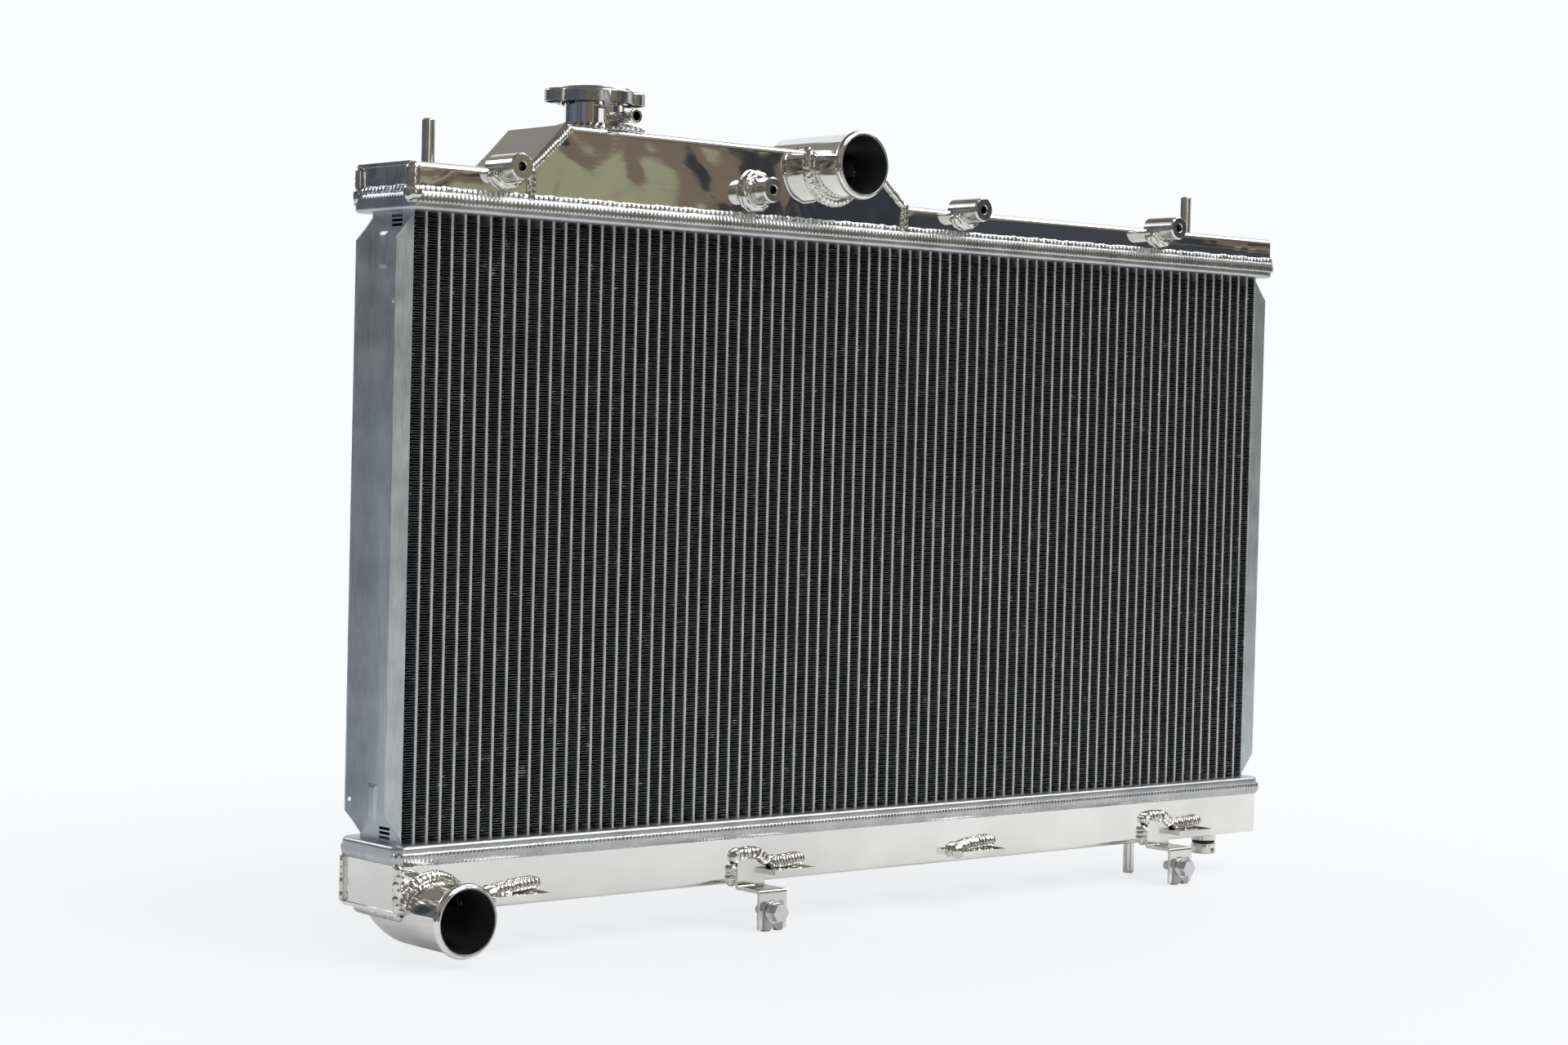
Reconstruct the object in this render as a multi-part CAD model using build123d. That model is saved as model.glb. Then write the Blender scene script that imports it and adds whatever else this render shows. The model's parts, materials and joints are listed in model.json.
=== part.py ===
from build123d import *
import math
import os

# All-aluminium down-flow car radiator, welded from sheet. Millimetres.
# Origin: midway between the two lower pins, on the underside of the bottom tank.
# +X runs along the tanks to the right as seen from the hose side, -Y points out of the hose
# side (the front) and +Z is up.

# ---- core ---------------------------------------------------------------------------------
core_centre_x = 14.7
tube_count = 80
tube_pitch = 8.5
tube_thickness = 2.0
tube_wall = 0.35
core_depth = 40.0
core_height = 342.0
tube_end_in_tank = 2.0

# ---- side plates --------------------------------------------------------------------------
side_plate_gauge = 1.2
side_plate_flange = 11.7
flange_taper_from_end = 2.0
flange_straight_from_end = 15.0
flange_step_width = 5.5
flange_step_height = 6.5
rib_width = 9.0
rib_height = 1.0
end_rib_length = 20.0
end_rib_from_end = 20.0
end_rib_y = 8.5
long_rib_from_end = 47.0
long_rib_y = -5.0
window_width = 10.5
window_slot = 1.6
window_bar = 0.9
window_slots = 3
window_y = -4.0
window_from_end = 1.0
flange_hole_radius = 1.2
flange_hole_inset = 2.6
flange_hole_from_end = 21.0

# ---- headers ------------------------------------------------------------------------------
header_overhang = 9.75
header_depth = 60.0
header_wall = 3.0
header_height = 7.5
header_corner = 8.0
header_edge_round = 2.5

# ---- tanks --------------------------------------------------------------------------------
tank_inset = 2.0
tank_wall = 2.0
tank_corner_chamfer = 1.9
end_cap_inset = 0.6
bottom_tank_height = 30.5
bottom_fold_radius = 3.0
low_tank_height = 19.0
raised_tank_height = 46.5
top_fold_radius = 4.0
raised_left_from_end = 80.0
raised_left_run = 27.0
raised_right_from_end = 355.0
raised_right_run = 27.5
right_seam_from_end = 363.5
seam_bead_height = 4.5
seam_bead_overhang = 0.4
seam_bead_taper = 16.0
slope_plate_gauge = 3.0
slope_plate_edge = 1.4

# ---- hose necks ---------------------------------------------------------------------------
hose_neck_radius = 19.0
hose_neck_wall = 1.5
hose_bead_height = 1.5
hose_bead_width = 4.4
hose_bead_from_mouth = 3.2
mouth_round = 0.6
inlet_from_end = 302.0
inlet_below_top = 8.7
inlet_opening_step = 0.5
inlet_mouth_y = -56.0
inlet_back_y = 12.0
outlet_from_end = 25.0
outlet_z = 0.0
outlet_mouth_y = -62.0
elbow_start_y = -12.0
elbow_radius = 31.0

# ---- filler neck --------------------------------------------------------------------------
neck_from_end = 143.5
neck_radius = 17.3
neck_wall = 1.5
neck_height = 20.8
neck_seat_height = 3.0
neck_seat_thickness = 1.5
neck_seat_hole_radius = 10.5
lip_radius = 20.3
lip_wall = 1.4
lip_height = 2.1
cam_depth = 2.8
cam_lead_angle = 82.0
cam_span = 100.0
cam_notch_span = 34.0
nipple_radius = 3.35
nipple_bore_radius = 2.6
nipple_above_tank = 7.4
nipple_tip_y = -39.4
nipple_bead_height = 0.9
nipple_bead_width = 2.4

# ---- pressure cap -------------------------------------------------------------------------
cap_gauge = 1.2
cap_skirt_radius = 23.0
cap_skirt_height = 6.2
cap_ear_reach = 29.5
cap_ear_width = 19.0
cap_ear_angle = -18.7
cap_edge_round = 1.6
cap_dome_radius = 20.5
cap_dome_height = 1.2
cap_dome_taper = 30.0
locking_ear_width = 7.8
locking_ear_inner_radius = 18.6
locking_ear_leg_width = 3.6
locking_ear_leg = 3.5
guide_lug_width = 5.5
guide_lug_radius = 21.2
guide_lug_reach = 4.0
guide_lug_drop = 1.0
lug_gauge = 1.0
running_gap = 0.3
gasket_thickness = 1.4
rivet_radius = 2.5
rivet_head_radius = 4.2
rivet_head_height = 0.9
shaft_clearance = 0.05
bell_radius = 12.6
bell_height = 5.0
valve_radius = 12.8
valve_thickness = 1.2
seal_thickness = 1.6
seal_hole_radius = 8.5
pressure_wire_radius = 0.8
pressure_coil_radius = 9.6
pressure_turns = 3.0
vacuum_disc_radius = 6.5
vacuum_disc_thickness = 0.9
vacuum_stem_radius = 1.0
vacuum_retainer_radius = 2.6
vacuum_retainer_height = 0.8
vacuum_wire_radius = 0.3
vacuum_coil_radius = 1.9
vacuum_turns = 4.0
vacuum_spring_height = 4.2
wire_sides = 8

# ---- locating pins ------------------------------------------------------------------------
pin_radius = 3.6
pin_chamfer = 0.6
lower_pin_from_end = 83.9
lower_pin_length = 24.5
upper_pin_from_end = 45.0
upper_pin_length = 26.2

# ---- fan shroud fixings -------------------------------------------------------------------
boss_radius = 7.5
boss_length = 17.0
boss_saddle = 8.0
boss_above_low_top = 0.2
boss_thread_radius = 2.5
boss_thread_depth = 13.0
boss_chamfer = 0.9
boss_spacing = 350.0
left_fan_boss_from_end = 62.0
right_fan_boss_from_end = 241.0
outer_tab_width = 38.0
inner_tab_width = 31.7
tab_reach = 12.0
tab_gauge = 3.0
tab_top_z = 7.5
tab_corner = 1.5
tab_spacing = 355.2
left_fan_tab_from_end = 77.0

# ---- lower brackets -----------------------------------------------------------------------
bracket_width = 21.0
bracket_gauge = 2.0
bracket_back_height = 15.5
bracket_drop = 1.5
bracket_reach = 22.5
bracket_leg_length = 23.1
bracket_bend_radius = 1.8
bracket_from_end = (249.1, 603.3)
bolt_below_leg_top = 12.9
bolt_radius = 2.9
bolt_hole_clearance = 0.4
bolt_head_across_flats = 10.0
bolt_head_height = 5.5
bolt_flange_radius = 6.8
bolt_flange_height = 1.3
bolt_length = 14.0
clip_gauge = 1.1
clip_width = 14.0
clip_height = 17.5
clip_notch_width = 6.0
clip_notch_height = 3.2
nut_collar_radius = 4.6
nut_collar_height = 4.0

# ---- drain --------------------------------------------------------------------------------
drain_from_right_end = 23.5
drain_radius = 8.5
drain_bung_height = 7.0
drain_thread_radius = 4.2
drain_thread_length = 8.0
drain_ring_wire = 1.6
drain_ring_inset = 0.7
drain_head_height = 7.0
drain_slot_width = 3.4
drain_slot_depth = 4.0
drain_head_chamfer = 0.6

# ---- sizes that follow from the ones above ------------------------------------------------
fin_width = tube_pitch - tube_thickness
core_half = (tube_count * tube_pitch + fin_width) / 2
header_length = 2 * (core_half + header_overhang)
left_end = core_centre_x - header_length / 2
right_end = core_centre_x + header_length / 2
core_bottom = bottom_tank_height + header_height
core_top = core_bottom + core_height
core_middle = (core_bottom + core_top) / 2
top_rim_z = core_top + header_height
low_top_z = top_rim_z + low_tank_height
raised_top_z = top_rim_z + raised_tank_height

tank_length = header_length - 2 * tank_inset
tank_depth = header_depth - 2 * tank_inset
tank_left = core_centre_x - tank_length / 2
tank_right = core_centre_x + tank_length / 2
tank_front = -tank_depth / 2
tank_back = tank_depth / 2
raised_slope_rise = raised_top_z - low_top_z

raised_left_x = left_end + raised_left_from_end
raised_right_x = left_end + raised_right_from_end
right_seam_x = left_end + right_seam_from_end

inlet_x = left_end + inlet_from_end
inlet_z = raised_top_z - inlet_below_top
outlet_x = left_end + outlet_from_end
neck_x = left_end + neck_from_end
lower_pin_x = header_length / 2 - lower_pin_from_end
upper_pin_x = header_length / 2 - upper_pin_from_end
boss_z = low_top_z + boss_above_low_top
boss_x = [left_end + first + i * boss_spacing
          for first in (left_fan_boss_from_end, right_fan_boss_from_end) for i in range(2)]
left_fan_tab_x = left_end + left_fan_tab_from_end
bracket_x = [left_end + distance for distance in bracket_from_end]
drain_x = right_end - drain_from_right_end

hose_bore_radius = hose_neck_radius - hose_neck_wall
inlet_opening_radius = hose_bore_radius + inlet_opening_step
neck_top = raised_top_z + neck_height
lip_bottom = neck_top - neck_wall - lip_height
cam_bottom = lip_bottom - cam_depth
seat_top = raised_top_z + neck_seat_height
nipple_z = raised_top_z + nipple_above_tank
cap_inside_z = neck_top + gasket_thickness + 2 * running_gap
cap_top = cap_inside_z + cap_gauge
cap_low = cap_inside_z - cap_skirt_height
ear_top = cap_low - locking_ear_leg + lug_gauge


def block(x, y, z):
    """A box from three (low, high) spans."""
    size = (x[1] - x[0], y[1] - y[0], z[1] - z[0])
    return Pos((x[0] + x[1]) / 2, (y[0] + y[1]) / 2, (z[0] + z[1]) / 2) * Box(*size)


def upright(radius, x, y, z):
    """A vertical cylinder over the span z."""
    return Pos(x, y, (z[0] + z[1]) / 2) * Cylinder(radius, z[1] - z[0])


def forward(radius, x, z, y):
    """A cylinder along Y over the span y."""
    turned = Rot(90, 0, 0) * Cylinder(radius, y[1] - y[0])
    return Pos(x, (y[0] + y[1]) / 2, z) * turned


def slab_xz(points, y):
    """Extrude an outline drawn in X and Z over the span y."""
    plane = Plane(origin=(0, y[1], 0), x_dir=(1, 0, 0), z_dir=(0, -1, 0))
    return extrude(plane * make_face(Polyline(*points, close=True)), y[1] - y[0])


def slab_yz(points, x):
    """Extrude an outline drawn in Y and Z over the span x."""
    plane = Plane(origin=(x[0], 0, 0), x_dir=(0, 1, 0), z_dir=(1, 0, 0))
    return extrude(plane * make_face(Polyline(*points, close=True)), x[1] - x[0])


def lathe(points):
    """Turn a closed outline, given as (radius, z), about the Z axis."""
    face = Plane.XZ * make_face(Polyline(*points, close=True))
    return revolve(face, Axis.Z, 360)


def long_edges(solid, z):
    """The edges that run along X at height z."""
    return [e for e in solid.edges().filter_by(Axis.X) if abs(e.center().Z - z) < 0.01]


# ---- core ---------------------------------------------------------------------------------
def core_tubes():
    """Flat tubes with a middle web, open into both tanks."""
    low = core_bottom - header_wall - tube_end_in_tank
    high = core_top + header_wall + tube_end_in_tank
    cavity_depth = (core_depth - 3 * tube_wall) / 2
    section = Rectangle(tube_thickness, core_depth)
    for side in (-1, 1):
        cavity = Rectangle(tube_thickness - 2 * tube_wall, cavity_depth)
        section -= Pos(0, side * (cavity_depth + tube_wall) / 2) * cavity
    tube = Pos(0, 0, low) * extrude(section, high - low)
    return [Pos(x, 0, 0) * tube for x in tube_positions()]


def tube_positions():
    first = core_centre_x - (tube_count - 1) * tube_pitch / 2
    return [first + i * tube_pitch for i in range(tube_count)]


def core_fins():
    """The space that each folded fin strip fills, brazed between its tubes."""
    first = core_centre_x - tube_count * tube_pitch / 2
    strip = Pos(0, 0, core_middle) * Box(fin_width, core_depth, core_height)
    return [Pos(first + i * tube_pitch, 0, 0) * strip for i in range(tube_count + 1)]


def rib(y, z_low, z_high, outside):
    """A pressed rib that stands out of the web of a left-hand side plate."""
    half = rib_width / 2
    top = half - 2 * rib_height
    points = [(y - half, z_low), (y + half, z_low), (y + half, z_high), (y - half, z_high)]
    shrink = half - top
    inner = [(y - top, z_low + shrink), (y + top, z_low + shrink),
             (y + top, z_high - shrink), (y - top, z_high - shrink)]
    base = Plane.YZ.offset(outside) * make_face(Polyline(*points, close=True))
    crown = Plane.YZ.offset(outside - rib_height) * make_face(Polyline(*inner, close=True))
    return loft([base, crown])


def side_plate(side):
    """A channel beside the last fin: web against the fin, flanges pointing outwards."""
    inner_x = -core_half
    outer_x = inner_x - side_plate_gauge
    tip_x = outer_x - side_plate_flange + side_plate_gauge
    half = core_depth / 2
    full = block((tip_x, inner_x), (-half, half), (core_bottom, core_top))
    trough = block((tip_x - 1, outer_x), (-half + side_plate_gauge, half - side_plate_gauge),
                   (core_bottom, core_top))
    plate = full - trough
    bend = [e for e in plate.edges().filter_by(Axis.Z)
            if abs(e.center().X - inner_x) < 0.01]
    plate = fillet(bend, side_plate_gauge)
    end = core_height / 2
    flange_straight_z = end - flange_straight_from_end
    flange_step_z = flange_straight_z + flange_step_height
    for up in (-1, 1):
        corner = [(tip_x - 1, core_middle + up * flange_straight_z),
                  (tip_x, core_middle + up * flange_straight_z),
                  (tip_x + flange_step_width, core_middle + up * flange_step_z),
                  (outer_x, core_middle + up * (end - flange_taper_from_end)),
                  (outer_x, core_middle + up * (end + 1)),
                  (tip_x - 1, core_middle + up * (end + 1))]
        plate -= slab_xz(corner, (-half - 1, half + 1))
        window_pitch = window_slot + window_bar
        for i in range(window_slots):
            z = core_middle + up * (end - window_from_end - window_slot / 2 - i * window_pitch)
            plate -= Pos(inner_x, window_y, z) * Box(4 * side_plate_gauge, window_width, window_slot)
        middle = core_middle + up * (end - end_rib_from_end)
        plate += rib(end_rib_y, middle - end_rib_length / 2, middle + end_rib_length / 2, outer_x)
    long_rib = (core_bottom + long_rib_from_end, core_top - long_rib_from_end)
    plate += rib(long_rib_y, long_rib[0], long_rib[1], outer_x)
    hole_y = (half - 2 * side_plate_gauge, half + 1)
    hole_z = core_bottom + flange_hole_from_end
    plate -= forward(flange_hole_radius, tip_x + flange_hole_inset, hole_z, hole_y)
    if side > 0:
        plate = mirror(plate, Plane.YZ)
    return [Pos(core_centre_x, 0, 0) * plate]


def header():
    """A tray with its flat face at z = 0 and its rim standing up, slotted for the tubes."""
    tray = extrude(RectangleRounded(header_length, header_depth, header_corner), header_height)
    tray = fillet(tray.faces().sort_by(Axis.Z)[0].outer_wire().edges(), header_edge_round)
    inside = RectangleRounded(header_length - 2 * header_wall, header_depth - 2 * header_wall,
                              header_corner - header_wall)
    tray -= Pos(0, 0, header_wall) * extrude(inside, header_height)
    slot = Rectangle(tube_thickness, core_depth)
    slots = Sketch() + [Pos(x - core_centre_x, 0) * slot for x in tube_positions()]
    return tray - extrude(slots, header_wall)


# ---- tanks --------------------------------------------------------------------------------
def corner_prisms(z):
    """Prisms that take the sharp vertical corners off a tank."""
    c = tank_corner_chamfer
    prisms = []
    for x, inward in ((tank_left, 1), (tank_right, -1)):
        for y in (tank_front, tank_back):
            up = math.copysign(1, y)
            points = [(x, y - up * c), (x + inward * c, y), (x + inward * c, y + up * c),
                      (x - inward * c, y + up * c), (x - inward * c, y - up * c)]
            face = Plane.XY.offset(z[0]) * make_face(Polyline(*points, close=True))
            prisms.append(extrude(face, z[1] - z[0]))
    return prisms


def bottom_tank_body():
    """The outer form of the bottom tank, as one solid."""
    body = block((tank_left, tank_right), (tank_front, tank_back), (0, bottom_tank_height))
    return fillet(long_edges(body, 0), bottom_fold_radius)


def bottom_tank():
    """Floor, front wall and back wall folded from one sheet."""
    inside = block((tank_left - 1, tank_right + 1),
                   (tank_front + tank_wall, tank_back - tank_wall),
                   (tank_wall, bottom_tank_height + 1))
    inside = fillet(long_edges(inside, tank_wall), bottom_fold_radius - tank_wall)
    shell = bottom_tank_body() - inside - outlet_form(hose_bore_radius)
    shell -= corner_prisms((-1, bottom_tank_height + 1))
    bore = upright(drain_thread_radius + shaft_clearance, drain_x, 0, (-1, tank_wall + 1))
    return shell - bore


def end_cap(x_outer, direction, low, high, fold_at_top):
    """A flat plate that closes a folded section between its walls and its fold."""
    x = sorted((x_outer, x_outer + direction * tank_wall))
    plate = block(x, (tank_front + tank_wall, tank_back - tank_wall), (low, high))
    fold = top_fold_radius if fold_at_top else bottom_fold_radius
    return fillet(long_edges(plate, high if fold_at_top else low), fold - tank_wall)


def low_section(x_low, x_high):
    """A low stretch of the top tank: top, front wall and back wall folded from one sheet."""
    outer = block((x_low, x_high), (tank_front, tank_back), (top_rim_z, low_top_z))
    outer = fillet(long_edges(outer, low_top_z), top_fold_radius)
    inner = block((x_low - 1, x_high + 1), (tank_front + tank_wall, tank_back - tank_wall),
                  (top_rim_z - 1, low_top_z - tank_wall))
    inner = fillet(long_edges(inner, low_top_z - tank_wall), top_fold_radius - tank_wall)
    return outer - inner - corner_prisms((top_rim_z - 1, low_top_z + 1))


def raised_outline():
    """The raised section seen from the front."""
    return [(raised_left_x, top_rim_z), (raised_left_x, low_top_z),
            (raised_left_x + raised_left_run, raised_top_z),
            (raised_right_x - raised_right_run, raised_top_z),
            (raised_right_x, low_top_z), (right_seam_x, low_top_z), (right_seam_x, top_rim_z)]


def raised_body():
    body = slab_xz(raised_outline(), (tank_front, tank_back))
    return fillet(long_edges(body, raised_top_z), top_fold_radius)


def raised_section():
    """Front wall, top and back wall folded from one sheet; the slopes stay open."""
    inner = block((raised_left_x - 1, right_seam_x + 1),
                  (tank_front + tank_wall, tank_back - tank_wall),
                  (top_rim_z - 1, raised_top_z - tank_wall))
    inner = fillet(long_edges(inner, raised_top_z - tank_wall), top_fold_radius - tank_wall)
    shell = raised_body() - inner - inlet_opening()
    hole_z = (raised_top_z - 2 * tank_wall, raised_top_z + 1)
    return shell - upright(neck_radius - neck_wall, neck_x, 0, hole_z)


def slope_plate(foot_x, run):
    """The sloping end plate, lapped over the sloping edges of the two walls."""
    slant = math.hypot(run, raised_slope_rise) / raised_slope_rise
    lap = math.copysign(slope_plate_gauge * slant, -run)
    points = [(foot_x, low_top_z), (foot_x + run, raised_top_z),
              (foot_x + run + lap, raised_top_z), (foot_x + lap, low_top_z)]
    plate = slab_xz(points, (tank_front, tank_back))
    outer_x = foot_x + lap + run / 2
    sides = [e for e in plate.edges() if abs(e.center().X - outer_x) < 0.01
             and abs(abs(e.center().Y) - tank_back) < 0.01]
    return chamfer(sides, slope_plate_edge)


def slope_foot():
    """The short flat strip between the right slope and the seam."""
    return block((raised_right_x, right_seam_x), (tank_front + tank_wall, tank_back - tank_wall),
                 (low_top_z - tank_wall, low_top_z))


def tank_shadow():
    """Everything inside the outer faces of the top tank, to cut saddles with."""
    low = block((tank_left, tank_right), (tank_front, tank_back), (core_top, low_top_z))
    return fillet(long_edges(low, low_top_z), top_fold_radius) + raised_body()


def seam_bead(rim_z, direction):
    """The weld that fills the step between a header's rim and its tank."""
    wide = RectangleRounded(header_length - seam_bead_overhang, header_depth - seam_bead_overhang,
                            header_corner)
    ring = Pos(core_centre_x, 0, 0) * extrude(wide, seam_bead_height, taper=seam_bead_taper)
    tank = block((tank_left, tank_right), (tank_front, tank_back), (-1, seam_bead_height + 1))
    ring -= tank - corner_prisms((-2, seam_bead_height + 2))
    turned = ring if direction > 0 else Rot(180, 0, 0) * ring
    return [Pos(0, 0, rim_z) * turned]


# ---- hose necks ---------------------------------------------------------------------------
def mouth(x, z, y):
    """The rolled bead near the mouth of a hose neck, as a ring round the pipe."""
    r = hose_neck_radius
    half = hose_bead_width / 2
    start = Vector(r - hose_neck_wall / 2, -half)
    side = Line(start, (r, -half))
    crown = ThreePointArc((r, -half), (r + hose_bead_height, 0), (r, half))
    back = Line((r, half), (r - hose_neck_wall / 2, half))
    close = Line((r - hose_neck_wall / 2, half), start)
    face = Plane.XZ * make_face([side, crown, back, close])
    ring = revolve(face, Axis.Z, 360)
    return Pos(x, y + hose_bead_from_mouth, z) * Rot(90, 0, 0) * ring


def inlet_opening():
    """The space under the inlet's saddle, through the front wall and top of the tank."""
    back = inlet_back_y - hose_neck_wall
    return forward(inlet_opening_radius, inlet_x, inlet_z, (tank_front, back))


def inlet_pipe():
    """A straight hose neck that runs on over the tank as a closed saddle."""
    pipe = forward(hose_neck_radius, inlet_x, inlet_z, (inlet_mouth_y, inlet_back_y))
    pipe += mouth(inlet_x, inlet_z, inlet_mouth_y)
    pipe -= forward(hose_bore_radius, inlet_x, inlet_z, (inlet_mouth_y, tank_front))
    return round_mouth(pipe - inlet_opening() - tank_shadow(), inlet_mouth_y)


def outlet_form(radius):
    """The outlet elbow at one radius: straight from the mouth, then up into the floor."""
    straight = forward(radius, outlet_x, outlet_z, (outlet_mouth_y, elbow_start_y))
    disc = Plane(origin=(outlet_x, elbow_start_y, outlet_z), z_dir=(0, 1, 0)) * Circle(radius)
    hub = Axis((outlet_x, elbow_start_y, outlet_z + elbow_radius), (1, 0, 0))
    return straight + revolve(disc, hub, 90)


def outlet_pipe():
    pipe = outlet_form(hose_neck_radius) + mouth(outlet_x, outlet_z, outlet_mouth_y)
    inside_tank = block((tank_left, tank_right), (tank_front, tank_back + elbow_radius), (0, core_bottom))
    inside_tank = fillet([e for e in long_edges(inside_tank, 0) if e.center().Y < 0],
                         bottom_fold_radius)
    above = block((outlet_x - 2 * hose_neck_radius, outlet_x + 2 * hose_neck_radius),
                  (tank_front, tank_back + 2 * elbow_radius),
                  (bottom_tank_height, bottom_tank_height + 2 * elbow_radius))
    pipe = pipe - outlet_form(hose_bore_radius) - inside_tank - above
    return round_mouth(pipe, outlet_mouth_y)


def round_mouth(pipe, y):
    rims = [e for e in pipe.edges().filter_by(GeomType.CIRCLE) if abs(e.center().Y - y) < 0.01]
    return fillet(rims, mouth_round)


# ---- filler neck and cap ------------------------------------------------------------------
def lip_sector(start, span, low, high):
    """A stretch of the lip's tube, seen as an arc of span degrees from the start angle."""
    ring = Circle(lip_radius) - Circle(lip_radius - lip_wall)
    reach = 2 * lip_radius
    corners = [(0, 0)] + [(reach * math.cos(math.radians(start + i * span / 4)),
                           reach * math.sin(math.radians(start + i * span / 4))) for i in range(5)]
    wedge = make_face(Polyline(*corners, close=True))
    return Pos(0, 0, low) * extrude(ring & wedge, high - low)


def cam(start):
    """A ramp under the lip: flush with it at the start angle and deepest a quarter turn on."""
    sector = lip_sector(start - cam_span, cam_span, cam_bottom, lip_bottom)
    slope = math.degrees(math.atan2(cam_depth, lip_radius))
    wide = 4 * lip_radius
    below = Box(wide, wide, 2 * cam_depth, align=(Align.CENTER, Align.CENTER, Align.MAX))
    return sector - Pos(0, 0, lip_bottom) * Rot(0, 0, start) * Rot(slope, 0, 0) * below


def filler_neck():
    """Tube with an inner seat for the pressure valve and a cammed lip for the cap's ears."""
    inner = neck_radius - neck_wall
    outline = [(inner, raised_top_z), (neck_radius, raised_top_z),
               (neck_radius, neck_top - neck_wall), (lip_radius - lip_wall, neck_top - neck_wall),
               (lip_radius - lip_wall, lip_bottom), (lip_radius, lip_bottom),
               (lip_radius, neck_top), (inner, neck_top),
               (inner, seat_top), (neck_seat_hole_radius, seat_top),
               (neck_seat_hole_radius, seat_top - neck_seat_thickness),
               (inner, seat_top - neck_seat_thickness)]
    neck = lathe(outline)
    closed_angle = cap_ear_angle - 90
    for half_turn in (0, 180):
        cam_start = closed_angle + cam_lead_angle + half_turn
        neck += cam(cam_start)
        neck -= lip_sector(cam_start, cam_notch_span, lip_bottom - 1, neck_top - neck_wall)
    port = forward(nipple_bore_radius, 0, nipple_z, (-neck_radius - 1, 0))
    return Pos(neck_x, 0, 0) * (neck - port)


def overflow_nipple():
    """The small hose spigot on the front of the neck, with its retaining bead."""
    outer = forward(nipple_radius, neck_x, nipple_z, (nipple_tip_y, 0))
    bead = forward(nipple_radius + nipple_bead_height, neck_x, nipple_z,
                   (nipple_tip_y, nipple_tip_y + nipple_bead_width))
    bead = fillet(bead.edges().filter_by(GeomType.CIRCLE), nipple_bead_height * 0.9)
    neck = upright(neck_radius, neck_x, 0, (raised_top_z, neck_top))
    bore = forward(nipple_bore_radius, neck_x, nipple_z, (nipple_tip_y - 1, 0))
    return outer + bead - neck - bore


def cap_outline(reach):
    """The cap seen from above: a disc with two lobes to grip, grown by reach."""
    lobes = RectangleRounded(2 * (cap_ear_reach + reach), cap_ear_width + 2 * reach,
                             0.45 * cap_ear_width + reach)
    return Circle(cap_skirt_radius + reach) + lobes


def cap_shell():
    """Pressed cover with grip lobes, two locking ears and two guide lugs."""
    outer = extrude(cap_outline(0), cap_skirt_height + cap_gauge)
    outer = fillet(outer.faces().sort_by(Axis.Z)[-1].outer_wire().edges(), cap_edge_round)
    outer += Pos(0, 0, cap_skirt_height + cap_gauge) * extrude(
        Circle(cap_dome_radius), cap_dome_height, taper=cap_dome_taper)
    shell = outer - extrude(cap_outline(-cap_gauge), cap_skirt_height)
    skirt_inside = cap_skirt_radius - cap_gauge
    leg_low = ear_top - lug_gauge - cap_low
    leg_half = locking_ear_leg_width / 2
    ear_half = locking_ear_width / 2
    lug_half = guide_lug_width / 2
    for half_turn in (0, 180):
        to_ear = Rot(0, 0, 90 + half_turn)
        leg = block((skirt_inside, cap_skirt_radius), (-leg_half, leg_half), (leg_low, cap_skirt_height))
        ear = block((locking_ear_inner_radius, cap_skirt_radius), (-ear_half, ear_half),
                    (leg_low, leg_low + lug_gauge))
        shell += to_ear * (leg + ear)
        to_lobe = Rot(0, 0, half_turn)
        strip = block((guide_lug_radius, guide_lug_radius + lug_gauge), (-lug_half, lug_half),
                      (-guide_lug_drop, cap_skirt_height))
        foot = block((guide_lug_radius, guide_lug_radius + guide_lug_reach), (-lug_half, lug_half),
                     (-guide_lug_drop, lug_gauge - guide_lug_drop))
        shell += to_lobe * (strip + foot)
    shell -= Cylinder(rivet_radius + shaft_clearance, 6 * cap_skirt_height)
    return Pos(neck_x, 0, cap_low) * Rot(0, 0, cap_ear_angle) * shell


def cap_rivet():
    """The rivet that joins the spring bell to the cover and lets the cover turn."""
    head_z = cap_top + cap_dome_height + running_gap
    shank = upright(rivet_radius, neck_x, 0, (cap_inside_z - running_gap - cap_gauge, head_z))
    head = upright(rivet_head_radius, neck_x, 0, (head_z, head_z + rivet_head_height))
    head = fillet(head.edges().group_by(Axis.Z)[-1], rivet_head_height * 0.6)
    return shank + head


def spring_bell():
    """The cup under the cover that guides the pressure spring."""
    top = cap_inside_z - running_gap
    low = top - bell_height
    cup = upright(bell_radius, neck_x, 0, (low, top))
    cup -= upright(bell_radius - cap_gauge, neck_x, 0, (low - 1, top - cap_gauge))
    return cup - upright(rivet_radius, neck_x, 0, (low, top + 1))


def cap_gasket():
    """The upper seal, between the cover and the rim of the neck."""
    low = neck_top + running_gap
    ring = upright(lip_radius - lip_wall, neck_x, 0, (low, low + gasket_thickness))
    hole_z = (low - 1, low + gasket_thickness + 1)
    return ring - upright(bell_radius + running_gap, neck_x, 0, hole_z)


def valve_bottom():
    return seat_top + running_gap


def pressure_valve():
    """The plate that the big spring holds down on the seat."""
    low = valve_bottom() + seal_thickness
    plate = upright(valve_radius, neck_x, 0, (low, low + valve_thickness))
    hole_z = (low - 1, low + 2 * valve_thickness)
    return plate - upright(vacuum_stem_radius + shaft_clearance, neck_x, 0, hole_z)


def pressure_seal():
    """The rubber ring under the pressure valve."""
    low = valve_bottom()
    ring = upright(valve_radius, neck_x, 0, (low, low + seal_thickness))
    return ring - upright(seal_hole_radius, neck_x, 0, (low - 1, low + 2 * seal_thickness))


def coil(wire_radius, coil_radius, turns, low, high):
    """A compression spring between low and high, its round wire drawn with a few flats."""
    rise = high - low - 2 * wire_radius
    path = Helix(pitch=rise / turns, height=rise, radius=coil_radius)
    start = path ^ 0
    wire = sweep(start * RegularPolygon(wire_radius, wire_sides), path=path, is_frenet=True)
    return Pos(neck_x, 0, low + wire_radius) * wire


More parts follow.
